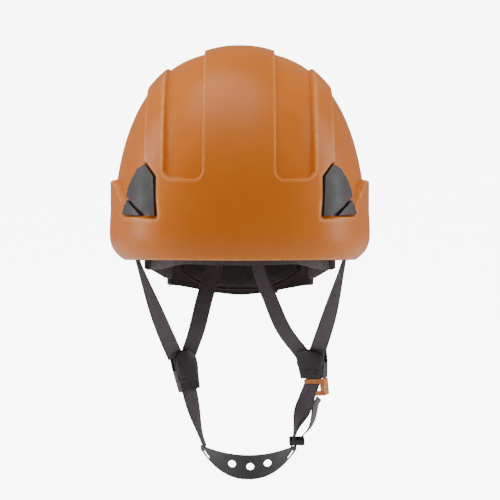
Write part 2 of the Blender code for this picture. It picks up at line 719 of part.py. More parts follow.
def divider_frame(side):
    """Place of a side divider: its own axes run across, deep (towards the back) and up."""
    if side < 0:
        centre, tilt = Vector((-48.8, 18.0, -100.5)) * MM, math.radians(-11.0)
    else:
        centre, tilt = Vector((64.7, 18.0, -94.7)) * MM, math.radians(-6.0)
    yaw = DIVIDER_YAW if side < 0 else -DIVIDER_YAW
    place = Matrix.Translation(centre)
    return place @ Matrix.Rotation(tilt, 4, "Y") @ Matrix.Rotation(yaw, 4, "Z")


def in_frame(frame, x, y, z):
    return frame @ (Vector((x, y, z)) * MM)


def add_in_frame(name, bm, material, frame, smooth=False):
    obj = add_object(name, bm, material, smooth)
    obj.matrix_world = frame
    return obj


def make_divider(side, width, height, plastic, pivot):
    """Housing with a through slot for the webbing, and a lever that locks it."""
    hand = "left" if side > 0 else "right"
    frame = divider_frame(side)
    half, deep, wall = width / 2, DIVIDER_DEPTH / 2, DIVIDER_WALL
    top, low = height / 2, -height / 2
    taper = 0.82 if side < 0 else 0.86
    outline = ((-half, top), (half, top), (half, top * 0.2), (half * taper, low),
               (-half * taper, low), (-half, top * 0.2))
    housing = add_in_frame(f"divider_{hand}", prism_mesh(outline, -deep, deep), plastic, frame)
    slot = ((-half * 2, top * 2), (half * 2, top * 2), (half * 2, top * 0.2),
            (half - wall, top * 0.1), (half * taper - wall, low * 1.01),
            (half * taper - wall, low * 2), (-half * taper + wall, low * 2),
            (-half * taper + wall, low * 1.01), (-half + wall, top * 0.1), (-half * 2, top * 0.2))
    bm = prism_mesh(slot, -deep + wall, deep - wall)
    cut(housing, add_in_frame(f"divider_slot_{hand}", bm, plastic, frame))
    hang(housing, pivot)
    face = -deep - GAP
    inset = 1.5 * MM
    lever = ((-half + inset, top - inset), (0.0, top + inset), (half - inset, top - inset),
             (half - inset, top * 0.2), (half * taper - inset, low + inset),
             (0.0, low - inset), (-half * taper + inset, low + inset), (-half + inset, top * 0.2))
    bm = prism_mesh(lever, face - LEVER_THICK, face)
    hinge = Vector((0.0, face - LEVER_THICK / 2, top))
    bmesh.ops.translate(bm, verts=bm.verts, vec=-hinge)
    cover = frame @ Matrix.Translation(hinge)
    hang(add_in_frame(f"divider_lever_{hand}", bm, plastic, cover), pivot)


def make_v_straps(webbing):
    """Front and rear webbing of each side, from the shell's anchors to the divider."""
    for hand, side in (("left", 1), ("right", -1)):
        frame = divider_frame(side)
        across = (frame.to_3x3() @ Vector((1.0, 0.0, 0.0))) * side
        front_end = in_frame(frame, *FRONT_STRAP_END[hand])
        start = Vector((FRONT_ANCHOR.x * side, FRONT_ANCHOR.y, FRONT_ANCHOR.z))
        bow = Vector((FRONT_STRAP_BOW * side, 0.0, 0.0))
        path = curve_through(start, start.lerp(front_end, 0.5) + bow, front_end, 11)
        sides = [Vector((0.0, 1.0, 0.0)).lerp(-across, smooth_step(0.0, 1.0, i / 10))
                 for i in range(11)]
        bm = ribbon_mesh(path, sides, WEB_WIDTH, WEB_THICK)
        add_object(f"strap_front_{hand}", bm, webbing, origin=start)
        points = [Vector(point) * MM for point in REAR_STRAP_POINTS[hand]]
        path = through(points + [in_frame(frame, *REAR_STRAP_END[hand])], 2)
        turned = Vector((math.cos(0.9), -math.sin(0.9), 0.0)) if side > 0 else Vector((1.0, 0, 0))
        end_side = across if side > 0 else -across
        last = len(path) - 1
        sides = [turned.lerp(end_side, smooth_step(0.0, 1.0, i / last)) for i in range(last + 1)]
        bm = ribbon_mesh(path, sides, WEB_WIDTH, WEB_THICK)
        add_object(f"strap_rear_{hand}", bm, webbing, origin=points[0])


def make_anchors(plastic, steel):
    """What holds each V-strap's upper end to the shell: a plate at the side, a bar behind."""
    for hand, side in (("left", 1), ("right", -1)):
        x = FRONT_ANCHOR.x + WEB_THICK / 2 + 3 * GAP
        low = (side * x, FRONT_ANCHOR.y - 9.0 * MM, FRONT_ANCHOR.z - 7.0 * MM)
        high = (side * (x + 3.0 * MM), FRONT_ANCHOR.y + 9.0 * MM, FRONT_ANCHOR.z + 11.0 * MM)
        first = tuple(min(a, b) for a, b in zip(low, high))
        second = tuple(max(a, b) for a, b in zip(low, high))
        add_bevel(add_object(f"anchor_front_{hand}", box_mesh(first, second), plastic, False), MM)
        x = 12.0 * MM if side > 0 else -16.0 * MM
        low = (x - 8.5 * MM, REAR_ANCHOR_Y + 1.5 * MM, REAR_ANCHOR_Z + 1.0 * MM)
        high = (x + 8.5 * MM, REAR_ANCHOR_Y + 16.0 * MM, REAR_ANCHOR_Z + 6.0 * MM)
        if side < 0:
            low = (low[0] - 3.0 * MM, low[1], low[2])
        add_bevel(add_object(f"anchor_rear_{hand}", box_mesh(low, high), steel, False), MM)


def cup_edges(part):
    """Upper and lower edge of the chin cup, part way from its centre to a wing."""
    top = CUP_TOP + CUP_TIP_RISE * part * part
    low = CUP_LOW + CUP_BELLY * abs(part) ** 2.4
    return top, low


def cup_depth(part):
    return CUP_FRONT_Y + CUP_BOW * part * part


def make_chin_cup(rubber, pivot):
    count = 25
    rings = []
    for i in range(count):
        part = 2 * i / (count - 1) - 1
        part = math.copysign(abs(part) ** 0.9, part)
        top, low = cup_edges(part)
        x = CUP_CENTRE_X + CUP_HALF_WIDTH * part
        y = cup_depth(part)
        rings.append((Vector((x, y, low)), Vector((x, y + CUP_THICK, low)),
                      Vector((x, y + CUP_THICK, top)), Vector((x, y, top))))
    cup = add_object("chin_cup", loft_mesh(rings), rubber)
    hang(cup, pivot)
    for i, (dx, z) in enumerate(CUP_HOLES):
        bm = disc_mesh(CUP_HOLE_RADIUS, 60.0 * MM, (CUP_CENTRE_X + dx * MM, 0, z * MM), (0, 1, 0))
        cut(cup, add_object(f"cup_hole_{i + 1}", bm, rubber))


def make_lower_straps(webbing, plastic, orange, pivot):
    """Webbing from each divider to the chin cup, with the buckle on the left one."""
    frame = divider_frame(-1)
    start = in_frame(frame, 0.0, 0.0, -14.0)
    wing = RIGHT_WING
    across = frame.to_3x3() @ Vector((1.0, 0.0, 0.0))
    path = curve_through(start, start.lerp(wing, 0.55) + Vector((-MM, 0, 0)), wing, 9)
    sides = [across.lerp(Vector((0.12, 1.0, 0.0)), smooth_step(0.0, 0.9, i / 8)) for i in range(9)]
    strap = ribbon_mesh(path, sides, WEB_WIDTH, WEB_THICK)
    hang(add_object("strap_lower_right", strap, webbing), pivot)

    frame = divider_frame(1)
    make_buckle(frame, orange, pivot)
    across = (frame.to_3x3() @ Vector((1.0, 0.0, 0.0)))
    wing = LEFT_WING
    path = [in_frame(frame, 0.0, 0.3, -7.0)]
    start = in_frame(frame, 0.0, 0.3, -12.5)
    bow = Vector((-1.0, 0.0, 0.0)) * MM
    path += curve_through(start, start.lerp(wing, 0.55) + bow, wing, 9)
    sides = [across.lerp(Vector((0.12, 1.0, 0.0)), smooth_step(0.1, 0.95, i / 9))
             for i in range(10)]
    strap = ribbon_mesh(path, sides, WEB_WIDTH, WEB_THICK)
    hang(add_object("strap_lower_left", strap, webbing), pivot)
    path = [Vector(point) * MM for point in TAIL_POINTS]
    last = len(path) - 1
    sides = [Vector((0.5, 1.0, 0.0)).lerp(Vector((0.1, 1.0, 0.0)), i / last)
             for i in range(last + 1)]
    strap = ribbon_mesh(path, sides, WEB_WIDTH, WEB_THICK)
    hang(add_object("strap_tail", strap, webbing), pivot)
    low, high = (Vector(corner) * MM for corner in KEEPER_CORNERS)
    keeper = add_object("strap_keeper", box_mesh(low, high), plastic, False)
    hang(keeper, pivot)
    wall = Vector((KEEPER_WALL, KEEPER_WALL, -2.0 * KEEPER_WALL))
    bm = box_mesh(low + wall, high - wall)
    cut(keeper, add_object("keeper_slot", bm, plastic, False))


def make_buckle(frame, orange, pivot):
    """Orange latch: a bar, a leg and a hook before the webbing; it slides down to open."""
    place = frame @ Matrix.Translation(LATCH_CENTRE)
    half, tall, deep = LATCH_HALF_WIDTH, LATCH_HALF_HEIGHT, LATCH_HALF_DEPTH
    leg = half - LATCH_BAR
    outline = ((-half, tall), (half, tall), (half, -tall), (half - LATCH_HOOK, -tall),
               (half - LATCH_HOOK, -tall + LATCH_BAR), (leg, -tall + LATCH_BAR),
               (leg, tall - LATCH_BAR), (-half, tall - LATCH_BAR))
    latch = add_in_frame("buckle_latch", prism_mesh(outline, -deep, deep), orange, place)
    hang(latch, pivot)
    bm = box_mesh((-half * 2, -deep + LATCH_FACE_WALL, -tall * 2),
                  (half - LATCH_SIDE_WALL, deep * 2, tall * 2))
    cut(latch, add_in_frame("latch_slot", bm, orange, place))


def main():
    clear_scene()
    shell_orange = make_material("shell_orange", (0.60, 0.17, 0.02), 0.38)
    black = make_material("black_plastic", (0.035, 0.032, 0.032), 0.5)
    brown_black = make_material("nape_plastic", (0.04, 0.03, 0.028), 0.55)
    webbing = make_material("webbing", (0.075, 0.062, 0.072), 0.85)
    foam = make_material("foam_fabric", (0.05, 0.05, 0.055), 0.9)
    rubber = make_material("cup_rubber", (0.05, 0.05, 0.055), 0.7)
    orange = make_material("buckle_orange", (0.72, 0.22, 0.02), 0.42)
    steel = make_material("spring_steel", (0.55, 0.55, 0.56), 0.3, 1.0)

    make_shell(shell_orange)
    make_lamp_clips(black)
    make_headband(brown_black, foam)
    make_arms(brown_black)
    make_cradle(webbing, black, foam)
    make_adjuster(brown_black, black, steel)
    make_nape_pad(foam)
    make_anchors(black, steel)
    pivot = bpy.data.objects.new("chin_harness_pivot", None)
    pivot.location = HARNESS_PIVOT
    bpy.context.scene.collection.objects.link(pivot)
    make_divider(-1, 22.0 * MM, 36.0 * MM, black, pivot)
    make_divider(1, 27.0 * MM, 25.0 * MM, black, pivot)
    make_v_straps(webbing)
    make_lower_straps(webbing, black, orange, pivot)
    make_chin_cup(rubber, pivot)


main()
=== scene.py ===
"""Looks of the arborist helmet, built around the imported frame. Metres, the wearer faces -Y."""
import json
import math

import bmesh
import bpy
from mathutils import Matrix, Vector

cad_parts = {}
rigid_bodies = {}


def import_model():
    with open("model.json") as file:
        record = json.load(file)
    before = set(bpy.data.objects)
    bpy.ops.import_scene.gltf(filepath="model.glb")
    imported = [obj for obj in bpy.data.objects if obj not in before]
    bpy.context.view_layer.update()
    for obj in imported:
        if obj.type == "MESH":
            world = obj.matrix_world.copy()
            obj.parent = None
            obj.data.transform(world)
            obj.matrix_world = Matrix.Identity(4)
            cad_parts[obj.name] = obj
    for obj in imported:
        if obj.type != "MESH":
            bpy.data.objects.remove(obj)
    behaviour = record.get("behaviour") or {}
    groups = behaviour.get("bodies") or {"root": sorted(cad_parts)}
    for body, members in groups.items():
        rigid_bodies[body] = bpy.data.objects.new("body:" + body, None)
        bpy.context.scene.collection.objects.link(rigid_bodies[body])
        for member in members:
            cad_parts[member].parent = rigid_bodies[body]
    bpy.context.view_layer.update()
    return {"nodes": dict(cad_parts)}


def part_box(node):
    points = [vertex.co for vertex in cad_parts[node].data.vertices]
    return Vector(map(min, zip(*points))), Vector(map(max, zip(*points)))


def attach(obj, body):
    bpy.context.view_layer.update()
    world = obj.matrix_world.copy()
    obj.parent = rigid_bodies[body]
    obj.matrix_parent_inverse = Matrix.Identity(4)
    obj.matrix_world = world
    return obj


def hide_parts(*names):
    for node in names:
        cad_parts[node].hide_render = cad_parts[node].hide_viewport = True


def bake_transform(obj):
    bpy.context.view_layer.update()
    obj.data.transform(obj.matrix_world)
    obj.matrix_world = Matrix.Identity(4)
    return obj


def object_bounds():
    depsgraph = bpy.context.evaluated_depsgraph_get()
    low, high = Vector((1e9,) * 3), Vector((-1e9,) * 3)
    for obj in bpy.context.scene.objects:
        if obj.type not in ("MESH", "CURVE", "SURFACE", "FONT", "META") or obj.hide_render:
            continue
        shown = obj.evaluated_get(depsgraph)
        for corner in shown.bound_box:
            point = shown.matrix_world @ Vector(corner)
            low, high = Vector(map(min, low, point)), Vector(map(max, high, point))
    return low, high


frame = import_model()

MM = 0.001

# Shell: the same dome as the frame's shell, with its fine edges.
HALF_WIDTH = 110.5 * MM
HALF_FRONT = 136.0 * MM
HALF_REAR = 146.0 * MM
DOME_HEIGHT = 182.0 * MM
PLAN_POWER = 2.3
DOME_POWER = 2.52
RIM_SLOPE = 0.0875
WALL = 3.0 * MM
RIM_TUCK = 13.0 * MM
TUCK_HEIGHT = 30.0 * MM
COLUMNS = 520
ROWS = 165
INNER_ROWS = 14

# Raised layers of the shell.
BAND_HALF = 29.5 * MM
BAND_RAISE = 4.0 * MM
BAND_CROWN = 1.4 * MM
CHANNEL_OUTER = 60.5 * MM
CHANNEL_FOOT = 77.0 * MM
CHANNEL_CORNER = 6.0 * MM
CHANNEL_REAR_DROP = 6.0 * MM
RIDGE_OUTER = 77.0 * MM
RIDGE_RAISE = 3.1 * MM
BROW_RAISE = 3.1 * MM
SKIRT_HALF_WIDTH = 112.4 * MM
SKIRT_TOP = 70.0 * MM
SKIRT_FRONT = 44.0 * MM
POCKET_DEPTH = 0.4 * MM
STEP = 1.2 * MM
LEAST_TURN = 0.0015

WEB_WIDTH = 15.0 * MM
WEB_THICK = 1.3 * MM


# ---------------------------------------------------------------- mesh helpers


def add_piece(name, bm, material, smooth_angle=40.0):
    bmesh.ops.recalc_face_normals(bm, faces=bm.faces)
    if bm.calc_volume(signed=True) < 0.0:
        bmesh.ops.reverse_faces(bm, faces=bm.faces)
    mesh = bpy.data.meshes.new(name)
    bm.to_mesh(mesh)
    bm.free()
    mesh.shade_smooth()
    mesh.set_sharp_from_angle(angle=math.radians(smooth_angle))
    mesh.materials.append(material)
    obj = bpy.data.objects.new(name, mesh)
    bpy.context.scene.collection.objects.link(obj)
    return obj


def round_edges(obj, width, segments=3, angle=30.0):
    bevel = obj.modifiers.new("round_edges", "BEVEL")
    bevel.width = width
    bevel.segments = segments
    bevel.limit_method = "ANGLE"
    bevel.angle_limit = math.radians(angle)
    bevel.harden_normals = False


def loft(rings, uv_scale=None):
    """Join rings of points into one closed body, with lengths in UV when a scale is given."""
    bm = bmesh.new()
    loops = [[bm.verts.new(point) for point in ring] for ring in rings]
    count = len(loops[0])
    layer = bm.loops.layers.uv.new("length") if uv_scale else None
    run = 0.0
    for one, two in zip(loops, loops[1:]):
        step = (one[0].co - two[0].co).length
        for i in range(count):
            j = (i + 1) % count
            face = bm.faces.new((one[i], one[j], two[j], two[i]))
            if layer:
                places = ((i, run), (i + 1, run), (i + 1, run + step), (i, run + step))
                for corner, (k, v) in zip(face.loops, places):
                    corner[layer].uv = (uv_scale[k % count], v / MM)
        run += step
    bm.faces.new(loops[0])
    bm.faces.new(list(reversed(loops[-1])))
    return bm


def smooth_step(low, high, value):
    part = min(max((value - low) / (high - low), 0.0), 1.0)
    return part * part * (3.0 - 2.0 * part)


def curve_through(start, middle, end, count):
    control = middle * 2.0 - (start + end) * 0.5
    points = []
    for i in range(count):
        t = i / (count - 1)
        points.append(start * (1 - t) ** 2 + control * 2 * t * (1 - t) + end * t * t)
    return points


# ---------------------------------------------------------------- material helpers


class Nodes:
    """Short names for building one material's nodes."""

    def __init__(self, name):
        self.material = bpy.data.materials.new(name)
        self.material.use_nodes = True
        self.tree = self.material.node_tree
        self.shader = self.tree.nodes["Principled BSDF"]
        self.place = self.add("ShaderNodeTexCoord").outputs["Object"]

    def add(self, kind, **values):
        node = self.tree.nodes.new(kind)
        for key, value in values.items():
            if hasattr(node, key):
                setattr(node, key, value)
            else:
                node.inputs[key].default_value = value
        return node

    def link(self, output, target):
        self.tree.links.new(output, target)

    def noise(self, scale, detail=3.0, roughness=0.5, place=None):
        node = self.add("ShaderNodeTexNoise")
        node.inputs["Scale"].default_value = scale
        node.inputs["Detail"].default_value = detail
        node.inputs["Roughness"].default_value = roughness
        self.link(place or self.place, node.inputs["Vector"])
        return node.outputs["Fac"]

    def voronoi(self, scale):
        node = self.add("ShaderNodeTexVoronoi")
        node.inputs["Scale"].default_value = scale
        self.link(self.place, node.inputs["Vector"])
        return node.outputs["Distance"]

    def math(self, operation, first, second=0.0, clamp=False):
        node = self.add("ShaderNodeMath")
        node.operation = operation
        node.use_clamp = clamp
        for slot, value in zip(node.inputs, (first, second)):
            if isinstance(value, (int, float)):
                slot.default_value = value
            else:
                self.link(value, slot)
        return node.outputs[0]

    def spread(self, value, low, high, to_low, to_high):
        node = self.add("ShaderNodeMapRange")
        for slot, number in zip(("From Min", "From Max", "To Min", "To Max"),
                                (low, high, to_low, to_high)):
            node.inputs[slot].default_value = number
        self.link(value, node.inputs["Value"])
        return node.outputs["Result"]

    def mix(self, factor, first, second):
        node = self.add("ShaderNodeMix")
        node.data_type = "RGBA"
        self.link(factor, node.inputs["Factor"])
        for slot, colour in zip((node.inputs[6], node.inputs[7]), (first, second)):
            if isinstance(colour, tuple):
                slot.default_value = (*colour, 1.0)
            else:
                self.link(colour, slot)
        return node.outputs[2]

    def bump(self, height, strength, distance, normal=None):
        node = self.add("ShaderNodeBump")
        node.inputs["Strength"].default_value = strength
        node.inputs["Distance"].default_value = distance
        self.link(height, node.inputs["Height"])
        if normal:
            self.link(normal, node.inputs["Normal"])
        return node.outputs["Normal"]

    def set(self, slot, value):
        if isinstance(value, (int, float)):
            self.shader.inputs[slot].default_value = value
        elif isinstance(value, tuple):
            self.shader.inputs[slot].default_value = (*value, 1.0)
        else:
            self.link(value, self.shader.inputs[slot])


def pale_edge_mask(nodes, low, high):
    """A mask of convex edges, which the materials paint paler; on the shell this paler edge is a
    painted highlight.
    """
    geometry = nodes.add("ShaderNodeNewGeometry")
    return nodes.spread(geometry.outputs["Pointiness"], low, high, 0.0, 1.0)


def shell_plastic():
    """Satin orange ABS: orange peel, faint clouding and handling scuffs, with a painted highlight
    along the convex edges.
    """
    nodes = Nodes("shell_satin_orange")
    cloud = nodes.spread(nodes.noise(14.0, 4.0), 0.35, 0.65, 0.0, 1.0)
    colour = nodes.mix(cloud, (0.590, 0.140, 0.003), (0.630, 0.156, 0.005))
    # Painted highlight: the shell's convex edges are mixed towards a pale orange, broken up by noise.
    pale_edges = nodes.math("MULTIPLY", pale_edge_mask(nodes, 0.502, 0.55),
                      nodes.spread(nodes.noise(160.0, 5.0), 0.4, 0.7, 0.35, 0.75))
    colour = nodes.mix(pale_edges, colour, (0.86, 0.40, 0.13))
    nodes.set("Base Color", colour)
    scuff = nodes.spread(nodes.noise(55.0, 8.0, 0.7), 0.45, 0.75, 0.0, 0.14)
    nodes.set("Roughness", nodes.math("ADD", scuff, 0.36))
    nodes.set("Specular IOR Level", 0.28)
    nodes.set("Subsurface Weight", 0.04)
    nodes.set("Subsurface Scale", 0.002)
    peel = nodes.bump(nodes.noise(620.0, 2.0), 0.10, 0.00006)
    nodes.set("Normal", nodes.bump(nodes.noise(2600.0, 2.0), 0.10, 0.00002, peel))
    return nodes.material


def moulded_plastic(name, colour, light, roughness, grain=1800.0, depth=0.00005):
    """Moulded plastic with a fine spark-eroded grain, faint flow marks and paler convex edges."""
    nodes = Nodes(name)
    flow = nodes.spread(nodes.noise(35.0, 4.0), 0.3, 0.7, 0.0, 1.0)
    base = nodes.mix(flow, colour, tuple(c * 1.25 for c in colour))
    pale_edges = nodes.math("MULTIPLY", pale_edge_mask(nodes, 0.51, 0.60),
                      nodes.spread(nodes.noise(300.0, 4.0), 0.35, 0.7, 0.0, 0.6))
    nodes.set("Base Color", nodes.mix(pale_edges, base, light))
    nodes.set("Roughness", nodes.math("ADD", nodes.spread(nodes.noise(90.0, 6.0), 0.3, 0.7,
                                                          -0.05, 0.09), roughness))
    nodes.set("Normal", nodes.bump(nodes.noise(grain, 3.0), 0.35, depth))
    return nodes.material


def webbing_fabric():
    """Woven polyester tape: chevron ribs between plain selvedges, with a soft fuzz."""
    nodes = Nodes("woven_webbing")
    uv = nodes.add("ShaderNodeUVMap")
    uv.uv_map = "length"
    parts = nodes.add("ShaderNodeSeparateXYZ")
    nodes.link(uv.outputs["UV"], parts.inputs[0])
    across, along = parts.outputs[0], parts.outputs[1]
    slant = nodes.math("PINGPONG", across, 1.5)
    rib = nodes.math("SINE", nodes.math("MULTIPLY", nodes.math("ADD", along, slant), 5.6))
    warp = nodes.math("SINE", nodes.math("MULTIPLY", across, 8.4))
    weave = nodes.math("ADD", nodes.math("MULTIPLY", rib, 0.6), nodes.math("MULTIPLY", warp, 0.4))
    edge = nodes.spread(nodes.math("ABSOLUTE", across), 5.9, 6.4, 0.0, 1.0)
    shade = nodes.spread(weave, -1.0, 1.0, 0.0, 1.0)
    colour = nodes.mix(shade, (0.062, 0.051, 0.061), (0.150, 0.126, 0.146))
    colour = nodes.mix(nodes.math("MULTIPLY", edge, 0.55), colour, (0.040, 0.034, 0.040))
    fuzz = nodes.spread(nodes.noise(220.0, 5.0), 0.35, 0.7, 0.0, 0.35)
    nodes.set("Base Color", nodes.mix(fuzz, colour, (0.135, 0.115, 0.128)))
    nodes.set("Roughness", 0.82)
    nodes.set("Sheen Weight", 0.35)
    nodes.set("Sheen Roughness", 0.4)
    first = nodes.bump(weave, 0.55, 0.00025)
    nodes.set("Normal", nodes.bump(nodes.noise(2400.0, 3.0), 0.3, 0.00006, first))
    return nodes.material


def knit_fabric():
    """Dark spacer knit over foam: small open cells with a soft sheen."""
    nodes = Nodes("spacer_knit")
    cells = nodes.voronoi(900.0)
    shade = nodes.spread(cells, 0.1, 0.7, 1.0, 0.0)
    colour = nodes.mix(shade, (0.016, 0.012, 0.011), (0.046, 0.035, 0.033))
    nodes.set("Base Color", colour)
    nodes.set("Roughness", 0.9)
    nodes.set("Sheen Weight", 0.4)
    nodes.set("Sheen Roughness", 0.5)
    first = nodes.bump(shade, 0.5, 0.0002)
    nodes.set("Normal", nodes.bump(nodes.noise(60.0, 3.0), 0.25, 0.0010, first))
    return nodes.material


def steel():
    nodes = Nodes("bright_steel")
    nodes.set("Base Color", (0.56, 0.56, 0.57))
    nodes.set("Metallic", 1.0)
    streak = nodes.noise(420.0, 6.0, 0.7)
    nodes.set("Roughness", nodes.spread(streak, 0.3, 0.7, 0.22, 0.42))
    nodes.set("Normal", nodes.bump(streak, 0.15, 0.00003))
    return nodes.material


ORANGE = shell_plastic()
BLACK = moulded_plastic("black_nylon", (0.024, 0.021, 0.021), (0.08, 0.07, 0.07), 0.50)
NAPE = moulded_plastic("nape_polymer", (0.046, 0.032, 0.028), (0.10, 0.09, 0.09), 0.55, 1400.0)
CUP = moulded_plastic("cup_polymer", (0.055, 0.053, 0.058), (0.13, 0.12, 0.13), 0.55, 1500.0)
LATCH = moulded_plastic("latch_orange", (0.50, 0.115, 0.004), (0.85, 0.42, 0.14), 0.40)
WEB = webbing_fabric()
KNIT = knit_fabric()
STEEL = steel()


# ---------------------------------------------------------------- shell


def plan_radius(angle, raise_by=0.0):
    half_length = HALF_FRONT if math.cos(angle) > 0 else HALF_REAR
    across = abs(math.sin(angle)) / (HALF_WIDTH + raise_by)
    along = abs(math.cos(angle)) / (half_length + raise_by)
    return (across ** PLAN_POWER + along ** PLAN_POWER) ** (-1.0 / PLAN_POWER)


def dome_shrink(height):
    part = min(max(height / DOME_HEIGHT, 0.0), 1.0)
    return (1.0 - part ** DOME_POWER) ** (1.0 / DOME_POWER)


def shell_point(angle, height, raise_by):
    rim_y = -plan_radius(angle) * math.cos(angle)
    rim_z = -RIM_SLOPE * rim_y * (1.0 - height / DOME_HEIGHT)
    radius = plan_radius(angle, raise_by) * dome_shrink(height + rim_z * 0.5)
    if height >= DOME_HEIGHT:
        radius = 0.0
    level = (height + rim_z) * (1.0 + raise_by * height / DOME_HEIGHT ** 2)
    return Vector((radius * math.sin(angle), -radius * math.cos(angle), level))


def surface_y(x, z):
    """Depth of the front of the dome at a place seen from the front."""
    y = -HALF_FRONT
    for _ in range(12):
        angle = math.atan2(x, -y)
        slope = RIM_SLOPE * plan_radius(angle) * math.cos(angle)
        height = (z - slope) / (1.0 - slope / DOME_HEIGHT)
        rim_z = slope * (1.0 - height / DOME_HEIGHT)
        left = dome_shrink(height + rim_z * 0.5) ** PLAN_POWER - (abs(x) / HALF_WIDTH) ** PLAN_POWER
        y = -HALF_FRONT * max(left, 1e-6) ** (1.0 / PLAN_POWER)
    return y


def surface_normal(x, z):
    step = 1.0 * MM
    right = Vector((2 * step, surface_y(x + step, z) - surface_y(x - step, z), 0.0))
    up = Vector((0.0, surface_y(x, z + step) - surface_y(x, z - step), 2 * step))
    return right.cross(up).normalized()


# Outlines of a lamp clip's parts on one side, seen from the front, in millimetres.
CLIP_POCKET = ((75.1, 88.4), (67.3, 78.4), (66.0, 45.2), (79.5, 44.8), (97.0, 44.6), (91.8, 60.8),
               (90.6, 66.9), (87.4, 74.8), (82.1, 84.1))
CLIP_PLATE = ((75.1, 87.4), (68.2, 78.0), (66.9, 46.6), (74.2, 46.4), (91.0, 60.3), (89.7, 66.7),
              (86.5, 74.4), (81.4, 83.3))
CLIP_TONGUE = ((90.9, 57.2), (95.6, 45.6), (79.0, 46.0))
CLIP_BED = ((75.1, 87.8), (67.7, 78.2), (66.4, 45.8), (79.5, 45.3), (96.2, 45.1), (91.3, 60.6),
            (90.2, 66.8), (87.0, 74.6), (81.7, 83.7))


def inside_margin(outline, x, z):
    """Signed distance of a point inside a convex outline, in millimetres."""
    best = 1e9
    centre_x = sum(p[0] for p in outline) / len(outline)
    centre_z = sum(p[1] for p in outline) / len(outline)
    for (ax, az), (bx, bz) in zip(outline, outline[1:] + outline[:1]):
        nx, nz = bz - az, ax - bx
        size = math.hypot(nx, nz)
        side = ((x - ax) * nx + (z - az) * nz) / size
        inner = ((centre_x - ax) * nx + (centre_z - az) * nz) / size
        best = min(best, side if inner > 0 else -side)
    return best


def rounded_box_distance(x, z, low_x, high_x, low_z, corner):
    """Distance inside an upright slot that is open at the top and round at its foot."""
    middle, half = (low_x + high_x) / 2, (high_x - low_x) / 2
    dx = abs(x - middle) - (half - corner)
    dz = (low_z + corner) - z
    if dx > 0 and dz > 0:
        return corner - math.hypot(dx, dz)
    return min(half - abs(x - middle), z - low_z)


def shell_raise(angle, height):
    """Height of the shell's raised layers above the plain dome."""
    base = shell_point(angle, height, 0.0)
    x, z = abs(base.x), base.z
    foot = CHANNEL_FOOT - (0.0 if base.y < 0 else CHANNEL_REAR_DROP)
    channel = rounded_box_distance(x, z, BAND_HALF, CHANNEL_OUTER, foot, CHANNEL_CORNER)
    in_channel = smooth_step(-STEP / 2, STEP / 2, channel)
    outside = smooth_step(RIDGE_OUTER - STEP / 2, RIDGE_OUTER + STEP / 2, x)
    crown = BAND_CROWN * max(1.0 - (x / BAND_HALF) ** 2, 0.0) * smooth_step(0.5, 0.95, z / DOME_HEIGHT)
    high = BROW_RAISE + (BAND_RAISE - BROW_RAISE) * smooth_step(40 * MM, 0.0, x) + crown
    outward = smooth_step(CHANNEL_OUTER - 4 * MM, CHANNEL_OUTER, x)
    high += (RIDGE_RAISE - BROW_RAISE) * outward * smooth_step(90 * MM, 120 * MM, z)
    layer = high * (1.0 - in_channel) * (1.0 - outside)
    turned = abs(math.sin(angle))
    edge = SKIRT_FRONT + (SKIRT_TOP - SKIRT_FRONT) * smooth_step(0.70, 0.93, turned)
    skirt = 0.0
    if height < SKIRT_TOP + 4 * MM:
        wall = SKIRT_HALF_WIDTH / dome_shrink(height) - HALF_WIDTH
        skirt = max(wall, BROW_RAISE) * (1.0 - smooth_step(edge - STEP, edge, height))
    raised = max(layer, skirt)
    if 60 * MM < x < 100 * MM and 38 * MM < z < 94 * MM:
        pocket = inside_margin(CLIP_POCKET, x / MM, z / MM)
        raised *= 1.0 - smooth_step(-0.7, 0.5, pocket)
        raised -= POCKET_DEPTH * smooth_step(-0.7, 0.5, pocket)
    lift = max(1.0 - height / TUCK_HEIGHT, 0.0)
    return raised - RIM_TUCK * (0.5 + 0.5 * turned) * lift ** 3.5


def turn_at(edge, height, rear):
    """Angle from straight ahead (or straight back) where the dome is an edge's width out."""
    low, high = 0.0, math.pi / 2
    for _ in range(20):
        middle = (low + high) / 2
        turn = math.pi - middle if rear else middle
        inside = shell_point(turn, height, 0.0).x < edge
        low, high = (middle, high) if inside else (low, middle)
    return low


def quarter_angles(height, rear):
    """Column angles of a quarter turn. Each edge of a layer keeps the same columns all the way."""
    marks = [(20, BAND_HALF - STEP / 2), (1, BAND_HALF), (1, BAND_HALF + STEP / 2),
             (10, BAND_HALF + CHANNEL_CORNER), (11, CHANNEL_OUTER - CHANNEL_CORNER),
             (10, CHANNEL_OUTER - STEP / 2), (1, CHANNEL_OUTER), (1, CHANNEL_OUTER + STEP / 2),
             (10, RIDGE_OUTER - STEP / 2), (1, RIDGE_OUTER), (1, RIDGE_OUTER + STEP / 2)]
    counts = [count for count, edge in marks]
    counts.append(COLUMNS // 4 - sum(counts))
    turns = [0.0] + [turn_at(edge, height, rear) for count, edge in marks] + [math.pi / 2]
    for k in range(len(turns) - 2, 0, -1):
        turns[k] = min(turns[k], turns[k + 1] - counts[k] * LEAST_TURN)
    angles = []
    for count, first, last in zip(counts, turns, turns[1:]):
        angles += [first + (last - first) * n / count for n in range(count)]
    return angles + [math.pi / 2]


def column_angles(height):
    front, rear = quarter_angles(height, False), quarter_angles(height, True)
    half = front[:-1] + [math.pi - turn for turn in reversed(rear)]
    return half[:-1] + [math.pi] + [2.0 * math.pi - turn for turn in reversed(half[1:-1])]


def inner_raise(angle, height):
    lift = max(1.0 - height / TUCK_HEIGHT, 0.0)
    return -WALL - RIM_TUCK * (0.5 + 0.5 * abs(math.sin(angle))) * lift ** 3.5


def row_height(row, rows):
    """Heights of the rows, crowded where the channels end and the lamp clips sit."""
    part = row / rows
    crowd = math.sin(2 * math.pi * (part - 0.36)) * 0.075
    return DOME_HEIGHT * math.sin((part - crowd * math.sin(part * math.pi)) * math.pi / 2) ** 1.12


